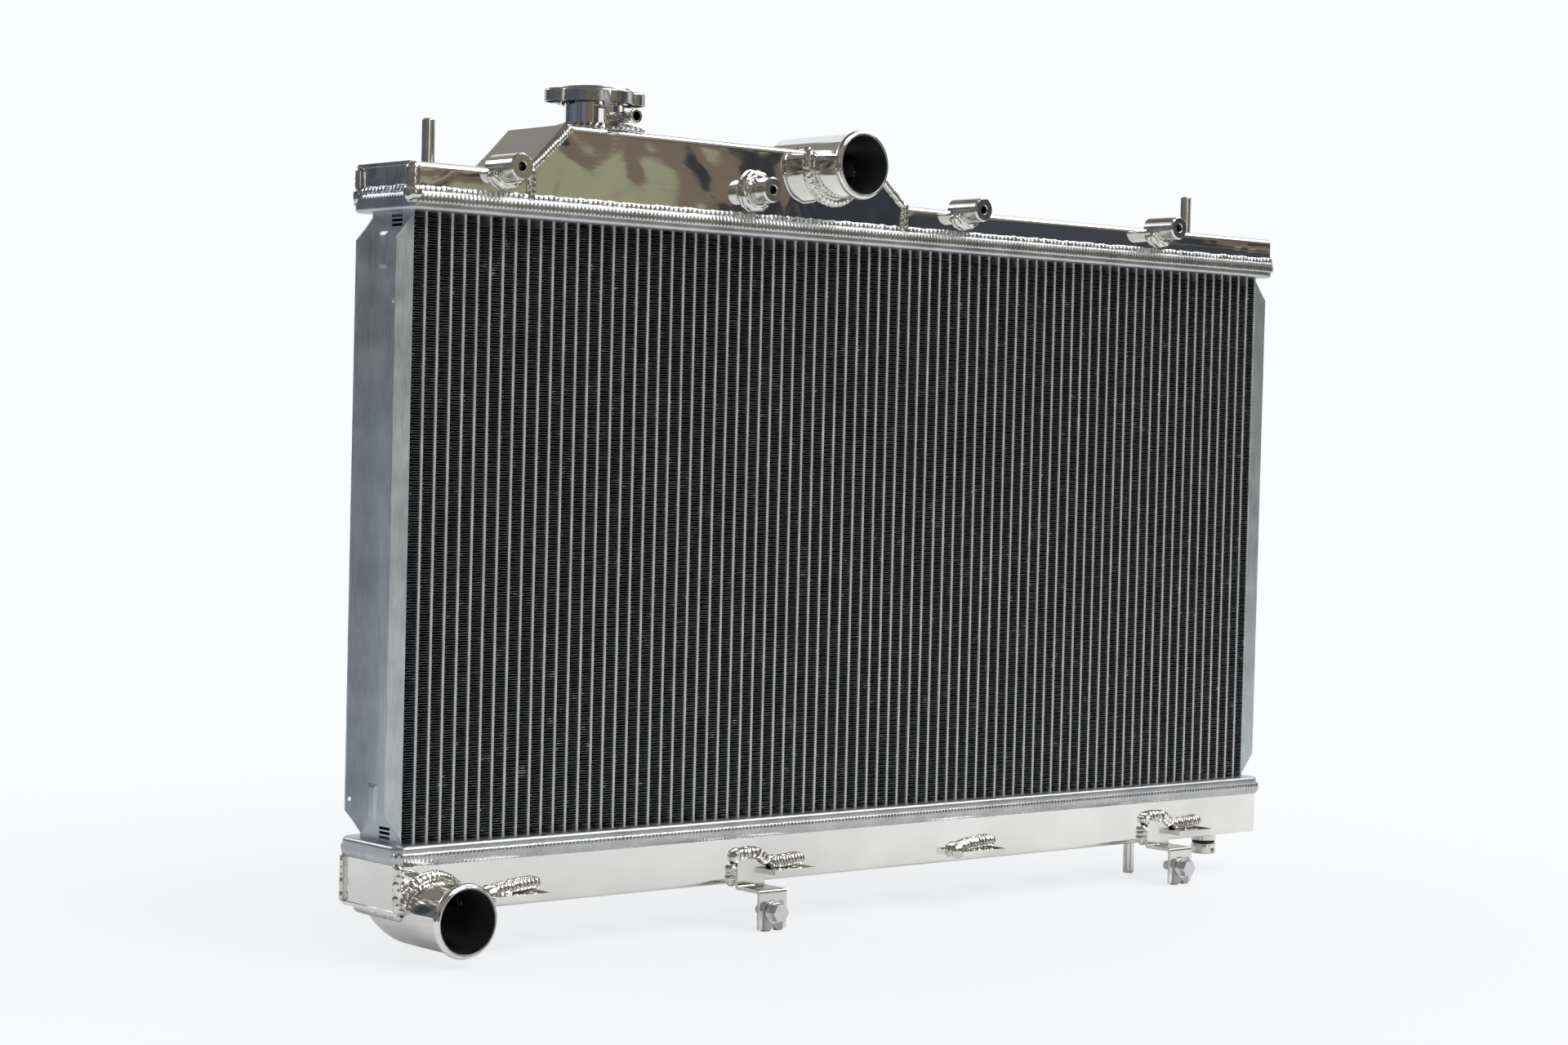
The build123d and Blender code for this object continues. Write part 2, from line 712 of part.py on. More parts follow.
def pressure_spring():
    low = valve_bottom() + seal_thickness + valve_thickness + running_gap
    high = cap_inside_z - running_gap - cap_gauge - running_gap
    return coil(pressure_wire_radius, pressure_coil_radius, pressure_turns, low, high)


def vacuum_retainer_z():
    plate_top = valve_bottom() + seal_thickness + valve_thickness
    return plate_top + vacuum_spring_height + 2 * running_gap


def vacuum_valve():
    """The small disc that opens downwards, with its stem and retainer."""
    plate_low = valve_bottom() + seal_thickness
    disc = upright(vacuum_disc_radius, neck_x, 0,
                   (plate_low - running_gap - vacuum_disc_thickness, plate_low - running_gap))
    top = vacuum_retainer_z() + vacuum_retainer_height
    stem = upright(vacuum_stem_radius, neck_x, 0, (plate_low - running_gap, top))
    retainer = upright(vacuum_retainer_radius, neck_x, 0, (vacuum_retainer_z(), top))
    return disc + stem + retainer


def vacuum_spring():
    low = valve_bottom() + seal_thickness + valve_thickness + running_gap
    return coil(vacuum_wire_radius, vacuum_coil_radius, vacuum_turns, low,
                low + vacuum_spring_height)


# ---- pins, bosses and tabs ----------------------------------------------------------------
def pin(x, foot_z, length):
    """A locating pin; a negative length points down."""
    z = sorted((foot_z, foot_z + length))
    body = upright(pin_radius, x, 0, z)
    tip = body.edges().filter_by(GeomType.CIRCLE).sort_by(Axis.Z)[-1 if length > 0 else 0]
    return chamfer(tip, pin_chamfer)


def lower_pins():
    return [pin(side * lower_pin_x, 0, -lower_pin_length) for side in (-1, 1)]


def upper_pins():
    return [pin(side * upper_pin_x, low_top_z, upper_pin_length) for side in (-1, 1)]


def shroud_bosses():
    """Threaded bosses for the fan shrouds, notched to sit on the front edge of the tank."""
    tip = tank_front - boss_length
    bosses = []
    for x in boss_x:
        body = forward(boss_radius, x, boss_z, (tip, tank_front + boss_saddle))
        rim = body.edges().filter_by(GeomType.CIRCLE).sort_by(Axis.Y)[0]
        body = chamfer(rim, boss_chamfer) - tank_shadow()
        body -= forward(boss_thread_radius, x, boss_z, (tip, tip + boss_thread_depth))
        mouth_edge = [e for e in body.edges().filter_by(GeomType.CIRCLE)
                      if abs(e.radius - boss_thread_radius) < 0.01 and e.center().Y < tip + 0.01]
        bosses.append(chamfer(mouth_edge, boss_chamfer / 2))
    return bosses


def shroud_tab(x_low, x_high):
    """A flat tab near the bottom that a fan shroud hooks over."""
    tab = block((x_low, x_high), (tank_front - tab_reach, tank_front), (tab_top_z - tab_gauge, tab_top_z))
    corners = [e for e in tab.edges().filter_by(Axis.Z) if e.center().Y < tank_front - 1]
    return fillet(corners, tab_corner)


def shroud_tabs():
    """Two tabs for each fan; the right-hand one of a pair starts at the edge of a bracket."""
    outer = [left_fan_tab_x + i * tab_spacing for i in range(2)]
    inner = [x + bracket_width / 2 for x in bracket_x]
    tabs = [shroud_tab(x - outer_tab_width / 2, x + outer_tab_width / 2) for x in outer]
    return tabs + [shroud_tab(x, x + inner_tab_width) for x in inner]


# ---- lower brackets -----------------------------------------------------------------------
leg_front = tank_front - bracket_reach
leg_top = -bracket_drop
leg_bottom = leg_top - bracket_leg_length
bolt_z = leg_top - bolt_below_leg_top


def bracket(x):
    """A strip welded to the front wall, bent forwards below it and down again."""
    back = tank_front - bracket_gauge
    under = leg_top - bracket_gauge
    outline = [(tank_front, bracket_back_height), (tank_front, under),
               (leg_front + bracket_gauge, under), (leg_front + bracket_gauge, leg_bottom),
               (leg_front, leg_bottom), (leg_front, leg_top), (back, leg_top),
               (back, bracket_back_height)]
    span = (x - bracket_width / 2, x + bracket_width / 2)
    strip = slab_yz(outline, span)
    bends = strip.edges().filter_by(Axis.X)
    outer = [e for e in bends if (e.center() - Vector(x, leg_front, leg_top)).length < 0.01
             or (e.center() - Vector(x, tank_front, under)).length < 0.01]
    inner = [e for e in bends if (e.center() - Vector(x, leg_front + bracket_gauge, under)).length < 0.01
             or (e.center() - Vector(x, back, leg_top)).length < 0.01]
    strip = fillet(inner, bracket_bend_radius - bracket_gauge / 2)
    strip = fillet([e for e in strip.edges().filter_by(Axis.X)
                    if any((e.center() - o.center()).length < 0.01 for o in outer)],
                   bracket_bend_radius)
    hole_y = (leg_front - 1, leg_front + bracket_gauge + 1)
    return strip - forward(bolt_radius + bolt_hole_clearance, x, bolt_z, hole_y)


def clip_nut(x):
    """A spring-steel clip folded round the end of the leg, with a nut collar behind."""
    front = leg_front - clip_gauge
    rear = leg_front + bracket_gauge + clip_gauge
    low = leg_bottom - clip_gauge
    span = (x - clip_width / 2, x + clip_width / 2)
    clip = block(span, (front, rear), (low, low + clip_height))
    clip -= block((span[0] - 1, span[1] + 1), (leg_front, leg_front + bracket_gauge),
                  (leg_bottom, low + clip_height + 1))
    folds = [e for e in clip.edges().filter_by(Axis.X) if abs(e.center().Z - low) < 0.01]
    clip = fillet(folds, clip_gauge)
    half = clip_notch_width / 2
    vee = [(x - half, low), (x, low + clip_notch_height), (x + half, low)]
    clip -= slab_xz(vee, (front - 1, rear + 1))
    clip += forward(nut_collar_radius, x, bolt_z, (rear, rear + nut_collar_height))
    return clip - forward(bolt_radius, x, bolt_z, (front - 1, rear + nut_collar_height + 1))


def bracket_bolt(x):
    """A flanged hexagon bolt held in the clip nut."""
    seat = leg_front - clip_gauge
    flange = forward(bolt_flange_radius, x, bolt_z, (seat - bolt_flange_height, seat))
    hexagon = RegularPolygon(bolt_head_across_flats / 2, 6, major_radius=False)
    plane = Plane(origin=(x, seat - bolt_flange_height, bolt_z), x_dir=(1, 0, 0), z_dir=(0, -1, 0))
    head = extrude(plane * hexagon, bolt_head_height)
    shank = forward(bolt_radius, x, bolt_z, (seat, seat + bolt_length))
    return flange + head + shank


# ---- drain --------------------------------------------------------------------------------
def drain_bung():
    bung = upright(drain_radius, drain_x, 0, (-drain_bung_height, 0))
    bore_z = (-drain_bung_height - 1, 1)
    return bung - upright(drain_thread_radius + shaft_clearance, drain_x, 0, bore_z)


def drain_o_ring():
    """A rubber ring between the bung and the head of the plug."""
    low = -drain_bung_height - drain_ring_wire - running_gap
    outer = upright(drain_radius - drain_ring_inset, drain_x, 0, (low, low + drain_ring_wire))
    outer = chamfer(outer.edges().filter_by(GeomType.CIRCLE), drain_ring_wire * 0.3)
    hole_z = (low - 1, low + 2 * drain_ring_wire)
    return outer - upright(drain_thread_radius + running_gap, drain_x, 0, hole_z)


def drain_plug():
    """A slotted screw plug."""
    head_top = -drain_bung_height - drain_ring_wire - 2 * running_gap
    head = upright(drain_radius, drain_x, 0, (head_top - drain_head_height, head_top))
    head = chamfer(head.edges().filter_by(GeomType.CIRCLE), drain_head_chamfer)
    slot_z = (head_top - drain_head_height - 1, head_top - drain_head_height + drain_slot_depth)
    half = drain_slot_width / 2
    head -= block((drain_x - half, drain_x + half), (-drain_radius - 1, drain_radius + 1), slot_z)
    shank = upright(drain_thread_radius, drain_x, 0, (head_top, head_top + drain_thread_length))
    return head + shank


def build():
    """Every sub-part as a list of solids, by name."""
    tray = header()
    cap_left_x = tank_left + end_cap_inset
    cap_right_x = tank_right - end_cap_inset
    return {
        "core_tubes": core_tubes(),
        "core_fins": core_fins(),
        "side_plate_left": side_plate(-1),
        "side_plate_right": side_plate(1),
        "header_bottom": [Pos(core_centre_x, 0, core_bottom) * Rot(180, 0, 0) * tray],
        "header_top": [Pos(core_centre_x, 0, core_top) * tray],
        "seam_bead_bottom": seam_bead(bottom_tank_height, -1),
        "seam_bead_top": seam_bead(top_rim_z, 1),
        "bottom_tank": [bottom_tank()],
        "bottom_end_cap_left": [end_cap(cap_left_x, 1, tank_wall, bottom_tank_height, False)],
        "bottom_end_cap_right": [end_cap(cap_right_x, -1, tank_wall, bottom_tank_height, False)],
        "top_tank_left": [low_section(tank_left, raised_left_x)],
        "top_tank_raised": [raised_section()],
        "top_tank_right": [low_section(right_seam_x, tank_right)],
        "slope_plate_left": [slope_plate(raised_left_x, raised_left_run)],
        "slope_plate_right": [slope_plate(raised_right_x, -raised_right_run) + slope_foot()],
        "top_end_cap_left": [end_cap(cap_left_x, 1, top_rim_z, low_top_z - tank_wall, True)],
        "top_end_cap_right": [end_cap(cap_right_x, -1, top_rim_z, low_top_z - tank_wall, True)],
        "inlet_pipe": [inlet_pipe()],
        "outlet_pipe": [outlet_pipe()],
        "filler_neck": [filler_neck()],
        "overflow_nipple": [overflow_nipple()],
        "cap_shell": [cap_shell()],
        "cap_rivet": [cap_rivet()],
        "cap_spring_bell": [spring_bell()],
        "cap_gasket": [cap_gasket()],
        "pressure_valve": [pressure_valve()],
        "pressure_seal": [pressure_seal()],
        "pressure_spring": [pressure_spring()],
        "vacuum_valve": [vacuum_valve()],
        "vacuum_spring": [vacuum_spring()],
        "lower_pins": lower_pins(),
        "upper_pins": upper_pins(),
        "shroud_bosses": shroud_bosses(),
        "shroud_tabs": shroud_tabs(),
        "lower_brackets": [bracket(x) for x in bracket_x],
        "clip_nuts": [clip_nut(x) for x in bracket_x],
        "bracket_bolts": [bracket_bolt(x) for x in bracket_x],
        "drain_bung": [drain_bung()],
        "drain_o_ring": [drain_o_ring()],
        "drain_plug": [drain_plug()],
    }


os.makedirs("parts", exist_ok=True)
for name, pieces in build().items():
    solids = [solid for piece in pieces for solid in piece.solids()]
    export_step(Compound(label=name, children=solids), f"parts/{name}.step")
    print(name, len(solids))
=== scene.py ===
# %% [markdown]
# A car radiator, dressed in its real finishes.
# A radiator is a core of flat tubes and folded fins between two tanks. Hot
# coolant comes in at the top tank, runs down the tubes and leaves at the
# bottom. This one is welded from aluminium sheet, and its tanks are polished.
# The plain solids of every part are loaded first, as one fixed frame, and
# each piece is then given the edges, welds and finish that it really has.

# %% Load the frame and clear the table
import json
import math
import random
import bmesh
import bpy
from mathutils import Matrix, Vector

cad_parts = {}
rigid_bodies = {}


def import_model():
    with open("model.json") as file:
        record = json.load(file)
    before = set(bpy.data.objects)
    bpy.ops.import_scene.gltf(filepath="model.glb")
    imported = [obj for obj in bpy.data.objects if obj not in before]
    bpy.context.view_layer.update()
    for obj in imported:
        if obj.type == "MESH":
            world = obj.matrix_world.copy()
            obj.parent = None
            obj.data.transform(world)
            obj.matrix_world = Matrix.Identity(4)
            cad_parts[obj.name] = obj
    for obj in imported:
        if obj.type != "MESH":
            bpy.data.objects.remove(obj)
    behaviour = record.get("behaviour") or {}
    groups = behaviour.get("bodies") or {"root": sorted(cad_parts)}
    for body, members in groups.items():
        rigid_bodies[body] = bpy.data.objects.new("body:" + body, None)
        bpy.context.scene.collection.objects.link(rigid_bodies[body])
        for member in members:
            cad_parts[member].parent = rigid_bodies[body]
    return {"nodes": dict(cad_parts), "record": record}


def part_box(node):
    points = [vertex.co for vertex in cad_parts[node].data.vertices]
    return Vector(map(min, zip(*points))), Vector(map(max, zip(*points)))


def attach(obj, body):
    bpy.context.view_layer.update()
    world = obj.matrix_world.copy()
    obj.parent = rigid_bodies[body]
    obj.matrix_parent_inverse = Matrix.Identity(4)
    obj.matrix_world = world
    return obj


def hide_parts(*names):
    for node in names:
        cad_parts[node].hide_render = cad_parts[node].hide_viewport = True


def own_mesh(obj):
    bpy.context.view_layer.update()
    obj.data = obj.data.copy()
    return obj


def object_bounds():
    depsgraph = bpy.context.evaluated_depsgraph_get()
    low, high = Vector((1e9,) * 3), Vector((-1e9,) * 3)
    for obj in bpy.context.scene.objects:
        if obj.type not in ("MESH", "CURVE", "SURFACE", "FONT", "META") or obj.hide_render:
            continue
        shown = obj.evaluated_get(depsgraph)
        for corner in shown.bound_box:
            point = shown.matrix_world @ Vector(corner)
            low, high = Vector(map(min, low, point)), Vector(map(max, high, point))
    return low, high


for thing in list(bpy.data.objects):
    bpy.data.objects.remove(thing)
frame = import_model()
nodes = frame["nodes"]
body_of_node = {node: body for body, members
                in frame["record"]["behaviour"]["bodies"].items() for node in members}
frame_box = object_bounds()
mm = 0.001
print("parts loaded:", len(nodes))

# %% [markdown]
# The camera stands in front of the left end, a little higher than the middle
# of the core. A 70 mm lens from two metres away keeps the long core from
# looking stretched. Three axes of unit length turn it.

# %% The camera
right = Vector((0.758188, -0.651574, 0.024549))
up = Vector((-0.000458, 0.037118, 0.999311))
back = Vector((-0.652036, -0.757677, 0.027844))
eye = (-1.2476, -1.3980, 0.2630)
lens = bpy.data.cameras.new("camera")
lens.lens, lens.sensor_width, lens.clip_start = 70, 36, 0.01
camera = bpy.data.objects.new("camera", lens)
turned = Matrix((right, up, back)).transposed().to_4x4()
camera.matrix_world = Matrix.Translation(eye) @ turned
bpy.context.scene.collection.objects.link(camera)
bpy.context.scene.camera = camera
bpy.context.scene.view_settings.view_transform = "Standard"
print("camera set", round(lens.lens), "mm")

# %% [markdown]
# The patterns of a material are sums, and they read best when they are written
# as sums. Value stands for the output of a node, and adding, multiplying or
# comparing values adds the Math nodes; a plain number may stand on either side.
# A colour is written as it looks on a screen, in six hex digits, and turned
# into the linear numbers that a shader works with.

# %% Colours and values


def shade(digits):
    """The linear colour of six hex digits."""
    parts = [int(digits[i:i + 2], 16) / 255 for i in (0, 2, 4)]
    return [*(((p + 0.055) / 1.055) ** 2.4 for p in parts), 1.0]


class Value:
    """The output of a node, which takes part in sums."""

    def __init__(self, finish, socket):
        self.finish, self.socket = finish, socket

    def sum_of(self, operation, first, second):
        return self.finish.add("ShaderNodeMath", {"operation": operation},
                               {0: first, 1: second})

    def __add__(self, other):
        return self.sum_of("ADD", self, other)

    def __mul__(self, other):
        return self.sum_of("MULTIPLY", self, other)

    def __gt__(self, other):
        return self.sum_of("GREATER_THAN", self, other)

    def __lt__(self, other):
        return self.sum_of("LESS_THAN", self, other)

    __radd__, __rmul__ = __add__, __mul__


print("middle grey:", [round(p, 3) for p in shade("808080")])

# %% [markdown]
# A finish is one material. It feeds its shader's sockets with numbers, colours
# or values, and one method adds any kind of node. The rest of its methods are
# the few patterns that metal needs: a cloudy noise, a coordinate, a mix and a
# ramp of colours, and a bump that tilts the surface.

# %% Finishes


class Finish:
    """One material, its shader and the nodes that feed it."""

    def __init__(self, name, colour, roughness, metallic=1.0):
        self.material = bpy.data.materials.new(name)
        self.material.use_nodes = True
        self.nodes = self.material.node_tree.nodes
        self.links = self.material.node_tree.links
        self.shader = self.nodes["Principled BSDF"]
        self.feed({"Base Color": shade(colour), "Roughness": roughness,
                   "Metallic": metallic})

    def plug(self, socket, value):
        """Links a value to a socket, or sets the socket to a number or colour."""
        if isinstance(value, Value):
            self.links.new(value.socket, socket)
        else:
            socket.default_value = value

    def feed(self, values):
        """Plugs values into the shader's sockets by name."""
        for name, value in values.items():
            self.plug(self.shader.inputs[name], value)

    def add(self, kind, settings, inputs, output=0):
        """Adds a node, sets it, plugs its inputs and returns one output."""
        node = self.nodes.new(kind)
        for name, value in settings.items():
            if name != "stops":
                setattr(node, name, value)
                continue
            ramp = node.color_ramp.elements
            for end, (place, colour) in zip((0, 1), (value[0], value[-1])):
                ramp[end].position, ramp[end].color = place, colour
            for place, colour in value[1:-1]:
                ramp.new(place).color = colour
        for name, value in inputs.items():
            self.plug(node.inputs[name], value)
        return Value(self, node.outputs[output])

    def place(self):
        """Where a point of the piece is, in metres."""
        return self.add("ShaderNodeTexCoord", {}, {}, "Object")

    def noise(self, size, stretch=(1, 1, 1), detail=3.0, warp=0.0):
        """A cloudy pattern whose blotches are about this many metres across."""
        where = self.add("ShaderNodeMapping", {},
                         {"Vector": self.place(), "Scale": [s / size for s in stretch]})
        return self.add("ShaderNodeTexNoise", {},
                        {"Vector": where, "Scale": 1.0, "Detail": detail,
                         "Distortion": warp})

    def axis(self, letter):
        """One coordinate of a point of the piece."""
        return self.add("ShaderNodeSeparateXYZ", {}, {"Vector": self.place()}, letter)

    def mix(self, factor, first, second):
        """A colour between two colours."""
        return self.add("ShaderNodeMix", {"data_type": "RGBA"},
                        {0: factor, 6: first, 7: second}, 2)

    def ramp(self, value, *stops):
        """A colour picked from stops by a value from 0 to 1."""
        return self.add("ShaderNodeValToRGB", {"stops": stops}, {"Fac": value})

    def bump(self, height, distance, after=None):
        """A normal tilted by a height pattern of so many metres."""
        inputs = {"Height": height, "Distance": distance}
        if after:
            inputs["Normal"] = after
        return self.add("ShaderNodeBump", {}, inputs)


print("a finish can:", ", ".join(name for name in vars(Finish) if name[0] != "_"))

# %% [markdown]
# The tanks are folded from sheet and then buffed until they mirror the room.
# A buffed sheet isn't flat: it rolls gently over a few centimetres, and the
# wheel leaves faint smears along its length. Both are slow bumps, because a
# mirror shows a slope of a hundredth of a degree.

# %% Polished finishes
freshly_buffed = shade("f3f3f1")


def polished(name, colour, waviness, haze):
    """Buffed aluminium: a mirror with rolling waves, smears and a little haze."""
    metal = Finish(name, colour, haze)
    smear = metal.noise(0.012, stretch=(0.25, 1, 1), detail=5)
    metal.feed({"Roughness": smear * haze * 1.2 + haze * 0.35})
    waves = metal.bump(metal.noise(0.045, detail=1, warp=0.6), waviness)
    fine = metal.bump(metal.noise(0.006, stretch=(0.3, 1, 1)), waviness * 0.03, waves)
    metal.feed({"Normal": fine,
                "Base Color": metal.ramp(metal.noise(0.06),
                                         (0.3, shade(colour)), (0.7, freshly_buffed))})
    return metal


mirror_sheet = polished("mirror sheet", "e3e3e1", 0.0006, 0.045)
mirror_tube = polished("mirror tube", "e3e3e2", 0.0003, 0.06)
worn_mirror = polished("worn mirror", "d9d8d5", 0.0005, 0.14)
print("polished finishes: 3")

# %% [markdown]
# The headers, which hold the tubes, keep the satin skin of the brazing oven:
# a soft grey with fine grain and clouds where the flux dried. The side plates
# are the same sheet with a bluish mill finish, rolled along their length.

# %% Satin finishes


def satin(name, dark, light, roughness, grain=(1, 1, 1), rise=1.0):
    """Sheet as it leaves the oven: cloudy, softly rough and finely grained."""
    metal = Finish(name, dark, roughness)
    cloud = metal.noise(0.02, detail=6)
    fine = metal.noise(0.0012, stretch=grain, detail=4)
    metal.feed({
        "Base Color": metal.ramp(cloud * 0.6 + fine * 0.4,
                                 (0.35, shade(dark)), (0.65, shade(light))),
        "Roughness": fine * 0.2 + cloud * 0.15 + (roughness - 0.17),
        "Normal": metal.bump(fine, 0.00006 * rise, metal.bump(cloud, 0.0002 * rise))})
    return metal


header_satin = satin("header satin", "b6b9bd", "d6d8dc", 0.36)
plate_satin = satin("side plate satin", "c6ccd3", "e2e7ec", 0.42, grain=(1, 1, 0.12))
tube_satin = satin("tube satin", "c6c7c8", "dededf", 0.5, grain=(1, 1, 0.1))
print("satin finishes: 3")

# %% [markdown]
# Weld metal freezes in rings behind the torch. It is bright, but its skin is
# finely wrinkled, so it glitters instead of mirroring.

# %% Weld metal
bright_metal = shade("f0efec")
weld_metal = Finish("weld metal", "e3e2df", 0.12)
wrinkle = weld_metal.noise(0.0016, detail=4)
weld_metal.feed({
    "Base Color": weld_metal.ramp(weld_metal.noise(0.005),
                                  (0.3, shade("c9c7c3")), (0.7, bright_metal)),
    "Roughness": wrinkle * 0.16 + 0.05,
    "Normal": weld_metal.bump(wrinkle, 0.00004)})
seam_metal = satin("seam weld metal", "aeb0b3", "d6d7d9", 0.27, rise=0.4)
print("weld finishes: 2")

# %% [markdown]
# Turned fittings carry the fine rings of the lathe tool, so their bump is a
# wave that runs along the turning axis. Plated steel is cloudier and greyer.

# %% Turned and plated metals


def turned(name, colour, roughness, along):
    """Lathe-turned metal, ringed along one axis."""
    metal = Finish(name, colour, roughness)
    rings = metal.add("ShaderNodeTexWave", {"bands_direction": along},
                      {"Vector": metal.place(), "Scale": 320.0, "Distortion": 0.6,
                       "Detail": 2.0})
    cloud = metal.noise(0.008, detail=5)
    metal.feed({
        "Base Color": metal.ramp(cloud, (0.3, shade(colour)), (0.75, bright_metal)),
        "Roughness": cloud * 0.14 + (roughness - 0.07),
        "Normal": metal.bump(rings, 0.000012)})
    return metal


turned_y = turned("turned aluminium", "cfcfce", 0.16, "Y")
turned_z = turned("turned fittings", "d2d1cf", 0.17, "Z")
cap_plate = satin("cap plating", "b2b3b4", "d4d4d4", 0.22, rise=0.15)
zinc_plate = satin("zinc plating", "d3d1d8", "ecebf0", 0.24, rise=0.3)
clip_plate = satin("clip plating", "98999b", "bdbdbc", 0.3, rise=0.3)
spring_wire = satin("spring wire", "8d8f92", "b3b4b6", 0.22)
valve_brass = satin("valve brass", "a98336", "d3ae5f", 0.28)
# The pipe bores: dull, and painted a darker grey for the shade inside them.
bore_skin_and_shade = satin("pipe bore and shade", "8f9193", "a5a7a9", 0.36, rise=0.5)
print("turned and plated finishes: 8")

# %% [markdown]
# Rubber scatters light under a dull skin. It isn't a metal, its black is
# never quite black, and dust greys it a little in clouds. The dark top of the
# cap's dome is made in the same way: its near black is partly the cap's own
# and partly a painted reflection of the dim ceiling that the dome mirrors.

# %% Rubber, and the dark top of the cap


def rubber(name, dark, dusty):
    """A dull dark skin with a little dust."""
    skin = Finish(name, dark, 0.6, metallic=0.0)
    dust = skin.noise(0.004, detail=6)
    skin.feed({"Base Color": skin.ramp(dust, (0.4, shade(dark)), (0.8, shade(dusty))),
               "Roughness": dust * 0.3 + 0.45,
               "Normal": skin.bump(dust, 0.00005)})
    return skin


black_rubber = rubber("black rubber", "151515", "2c2c2b")
seal_rubber = rubber("green seal rubber", "10281c", "24463a")
# The cap's dark dome: near black, partly a painted reflection of the dim ceiling.
dark_dome_and_reflection = rubber("dark dome and painted reflection", "101112", "1d1e1f")
print("rubber and dark dome finishes: 3")

# %% [markdown]
# The folded fins are thin foil, forty millimetres deep from front to back.
# Light barely gets between them, so only the cut edges at the front and back
# catch it. Away from those edges the foil is painted nearly black, which is
# painted shade between the fins. The distance from the middle of the core
# tells the two apart.

# %% Fin foil with painted shade
# The foil's base colour is near black: painted shade between the fins.
fin_foil_painted_shade = Finish("fin foil painted shade", "101112", 0.45)
depth = fin_foil_painted_shade.axis("Y")
away = fin_foil_painted_shade.add("ShaderNodeMath", {"operation": "ABSOLUTE"}, {0: depth})
edge_starts = 19.4 * mm
edge = away > edge_starts
speck = fin_foil_painted_shade.noise(0.0045, detail=2)
# Deep in the core the colour is painted shade, nearly black; the cut edges get a speckled
# grey.
fin_foil_painted_shade.feed({
    "Base Color": fin_foil_painted_shade.mix(edge, shade("0d0e0f"),
                               fin_foil_painted_shade.ramp(speck, (0.35, shade("484c4f")),
                                             (0.68, shade("686c6f")),
                                             (0.78, shade("c4c6c8")))),
    "Roughness": speck * 0.3 + 0.3,
    "Normal": fin_foil_painted_shade.bump(speck, 0.0002)})
print("fin foil painted shade ready")

# %% [markdown]
# No sheet or turned part has a knife edge: its edges are rolled, deburred or
# buffed round, and that thin round is what catches the light. The plain solids
# come as loose triangles, so each is copied, its doubles are merged and its
# flat faces joined, and a small bevel then runs along every real edge.

# %% Helpers that make and dress a piece


def as_object(name, shape):
    """Makes a bmesh an object at the origin, and frees the bmesh."""
    mesh = bpy.data.meshes.new(name)
    shape.to_mesh(mesh)
    shape.free()
    thing = bpy.data.objects.new(name, mesh)
    bpy.context.scene.collection.objects.link(thing)
    return thing


def new_piece(name, shape, body, finishes, stands_for=(), smooth=30):
    """Makes a bmesh a finished piece that rides with a body."""
    piece = as_object(name, shape)
    for finish in finishes:
        piece.data.materials.append(finish.material)
    piece.data.shade_smooth()
    piece.data.set_sharp_from_angle(angle=math.radians(smooth))
    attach(piece, body)
    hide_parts(*stands_for)
    return piece


def round_edges(piece, width, angle=32):
    """A live bevel of this width along the piece's sharp edges."""
    bevel = piece.modifiers.new("rounded edges", "BEVEL")
    bevel.width, bevel.segments, bevel.profile = width * mm, 2, 0.5
    bevel.limit_method, bevel.angle_limit = "ANGLE", math.radians(angle)
    bevel.harden_normals = True


def merge_flat(shape):
    """Merges doubled corners and joins the triangles of each flat face."""
    bmesh.ops.remove_doubles(shape, verts=shape.verts, dist=0.002 * mm)
    bmesh.ops.dissolve_limit(shape, angle_limit=math.radians(0.5),
                             verts=shape.verts, edges=shape.edges)


def merged_copy(node):
    """A copy of a part's loose triangles, merged into flat faces."""
    shape = bmesh.new()
    shape.from_mesh(nodes[node].data)
    merge_flat(shape)
    return shape


def dress(node, finish, width, inner=None, is_inner=None, smooth=30):
    """A part's own shape with rounded edges, and another finish inside."""
    shape = merged_copy(node)
    if is_inner:
        for face in shape.faces:
            face.material_index = int(is_inner(face))
    finishes = [finish, inner] if inner else [finish]
    piece = new_piece(node + "_shown", shape, body_of_node[node], finishes,
                      [node], smooth)
    round_edges(piece, width, smooth + 2)


print("helpers ready")

# %% [markdown]
# Most parts only need their edges and finish, so one table names each part,
# its slot, its finish and how round its edges are, in millimetres. The pressed
# headers get the widest round.

# %% Dress the parts that show
sheet_work = {
    "header_top": ("satin_sheet", header_satin, 0.7),
    "header_bottom": ("satin_sheet", header_satin, 0.7),
    "bottom_end_cap_left": ("polished_sheet", mirror_sheet, 0.3),
    "bottom_end_cap_right": ("polished_sheet", mirror_sheet, 0.3),
    "top_tank_left": ("polished_sheet", mirror_sheet, 0.3),
    "top_tank_raised": ("polished_sheet", mirror_sheet, 0.3),
    "top_tank_right": ("polished_sheet", mirror_sheet, 0.3),
    "slope_plate_left": ("polished_sheet", mirror_sheet, 0.3),
    "slope_plate_right": ("polished_sheet", mirror_sheet, 0.3),
    "top_end_cap_left": ("polished_sheet", mirror_sheet, 0.3),
    "top_end_cap_right": ("polished_sheet", mirror_sheet, 0.3),
    "shroud_tabs": ("polished_sheet", worn_mirror, 0.25),
    "lower_brackets": ("polished_sheet", worn_mirror, 0.25),
}
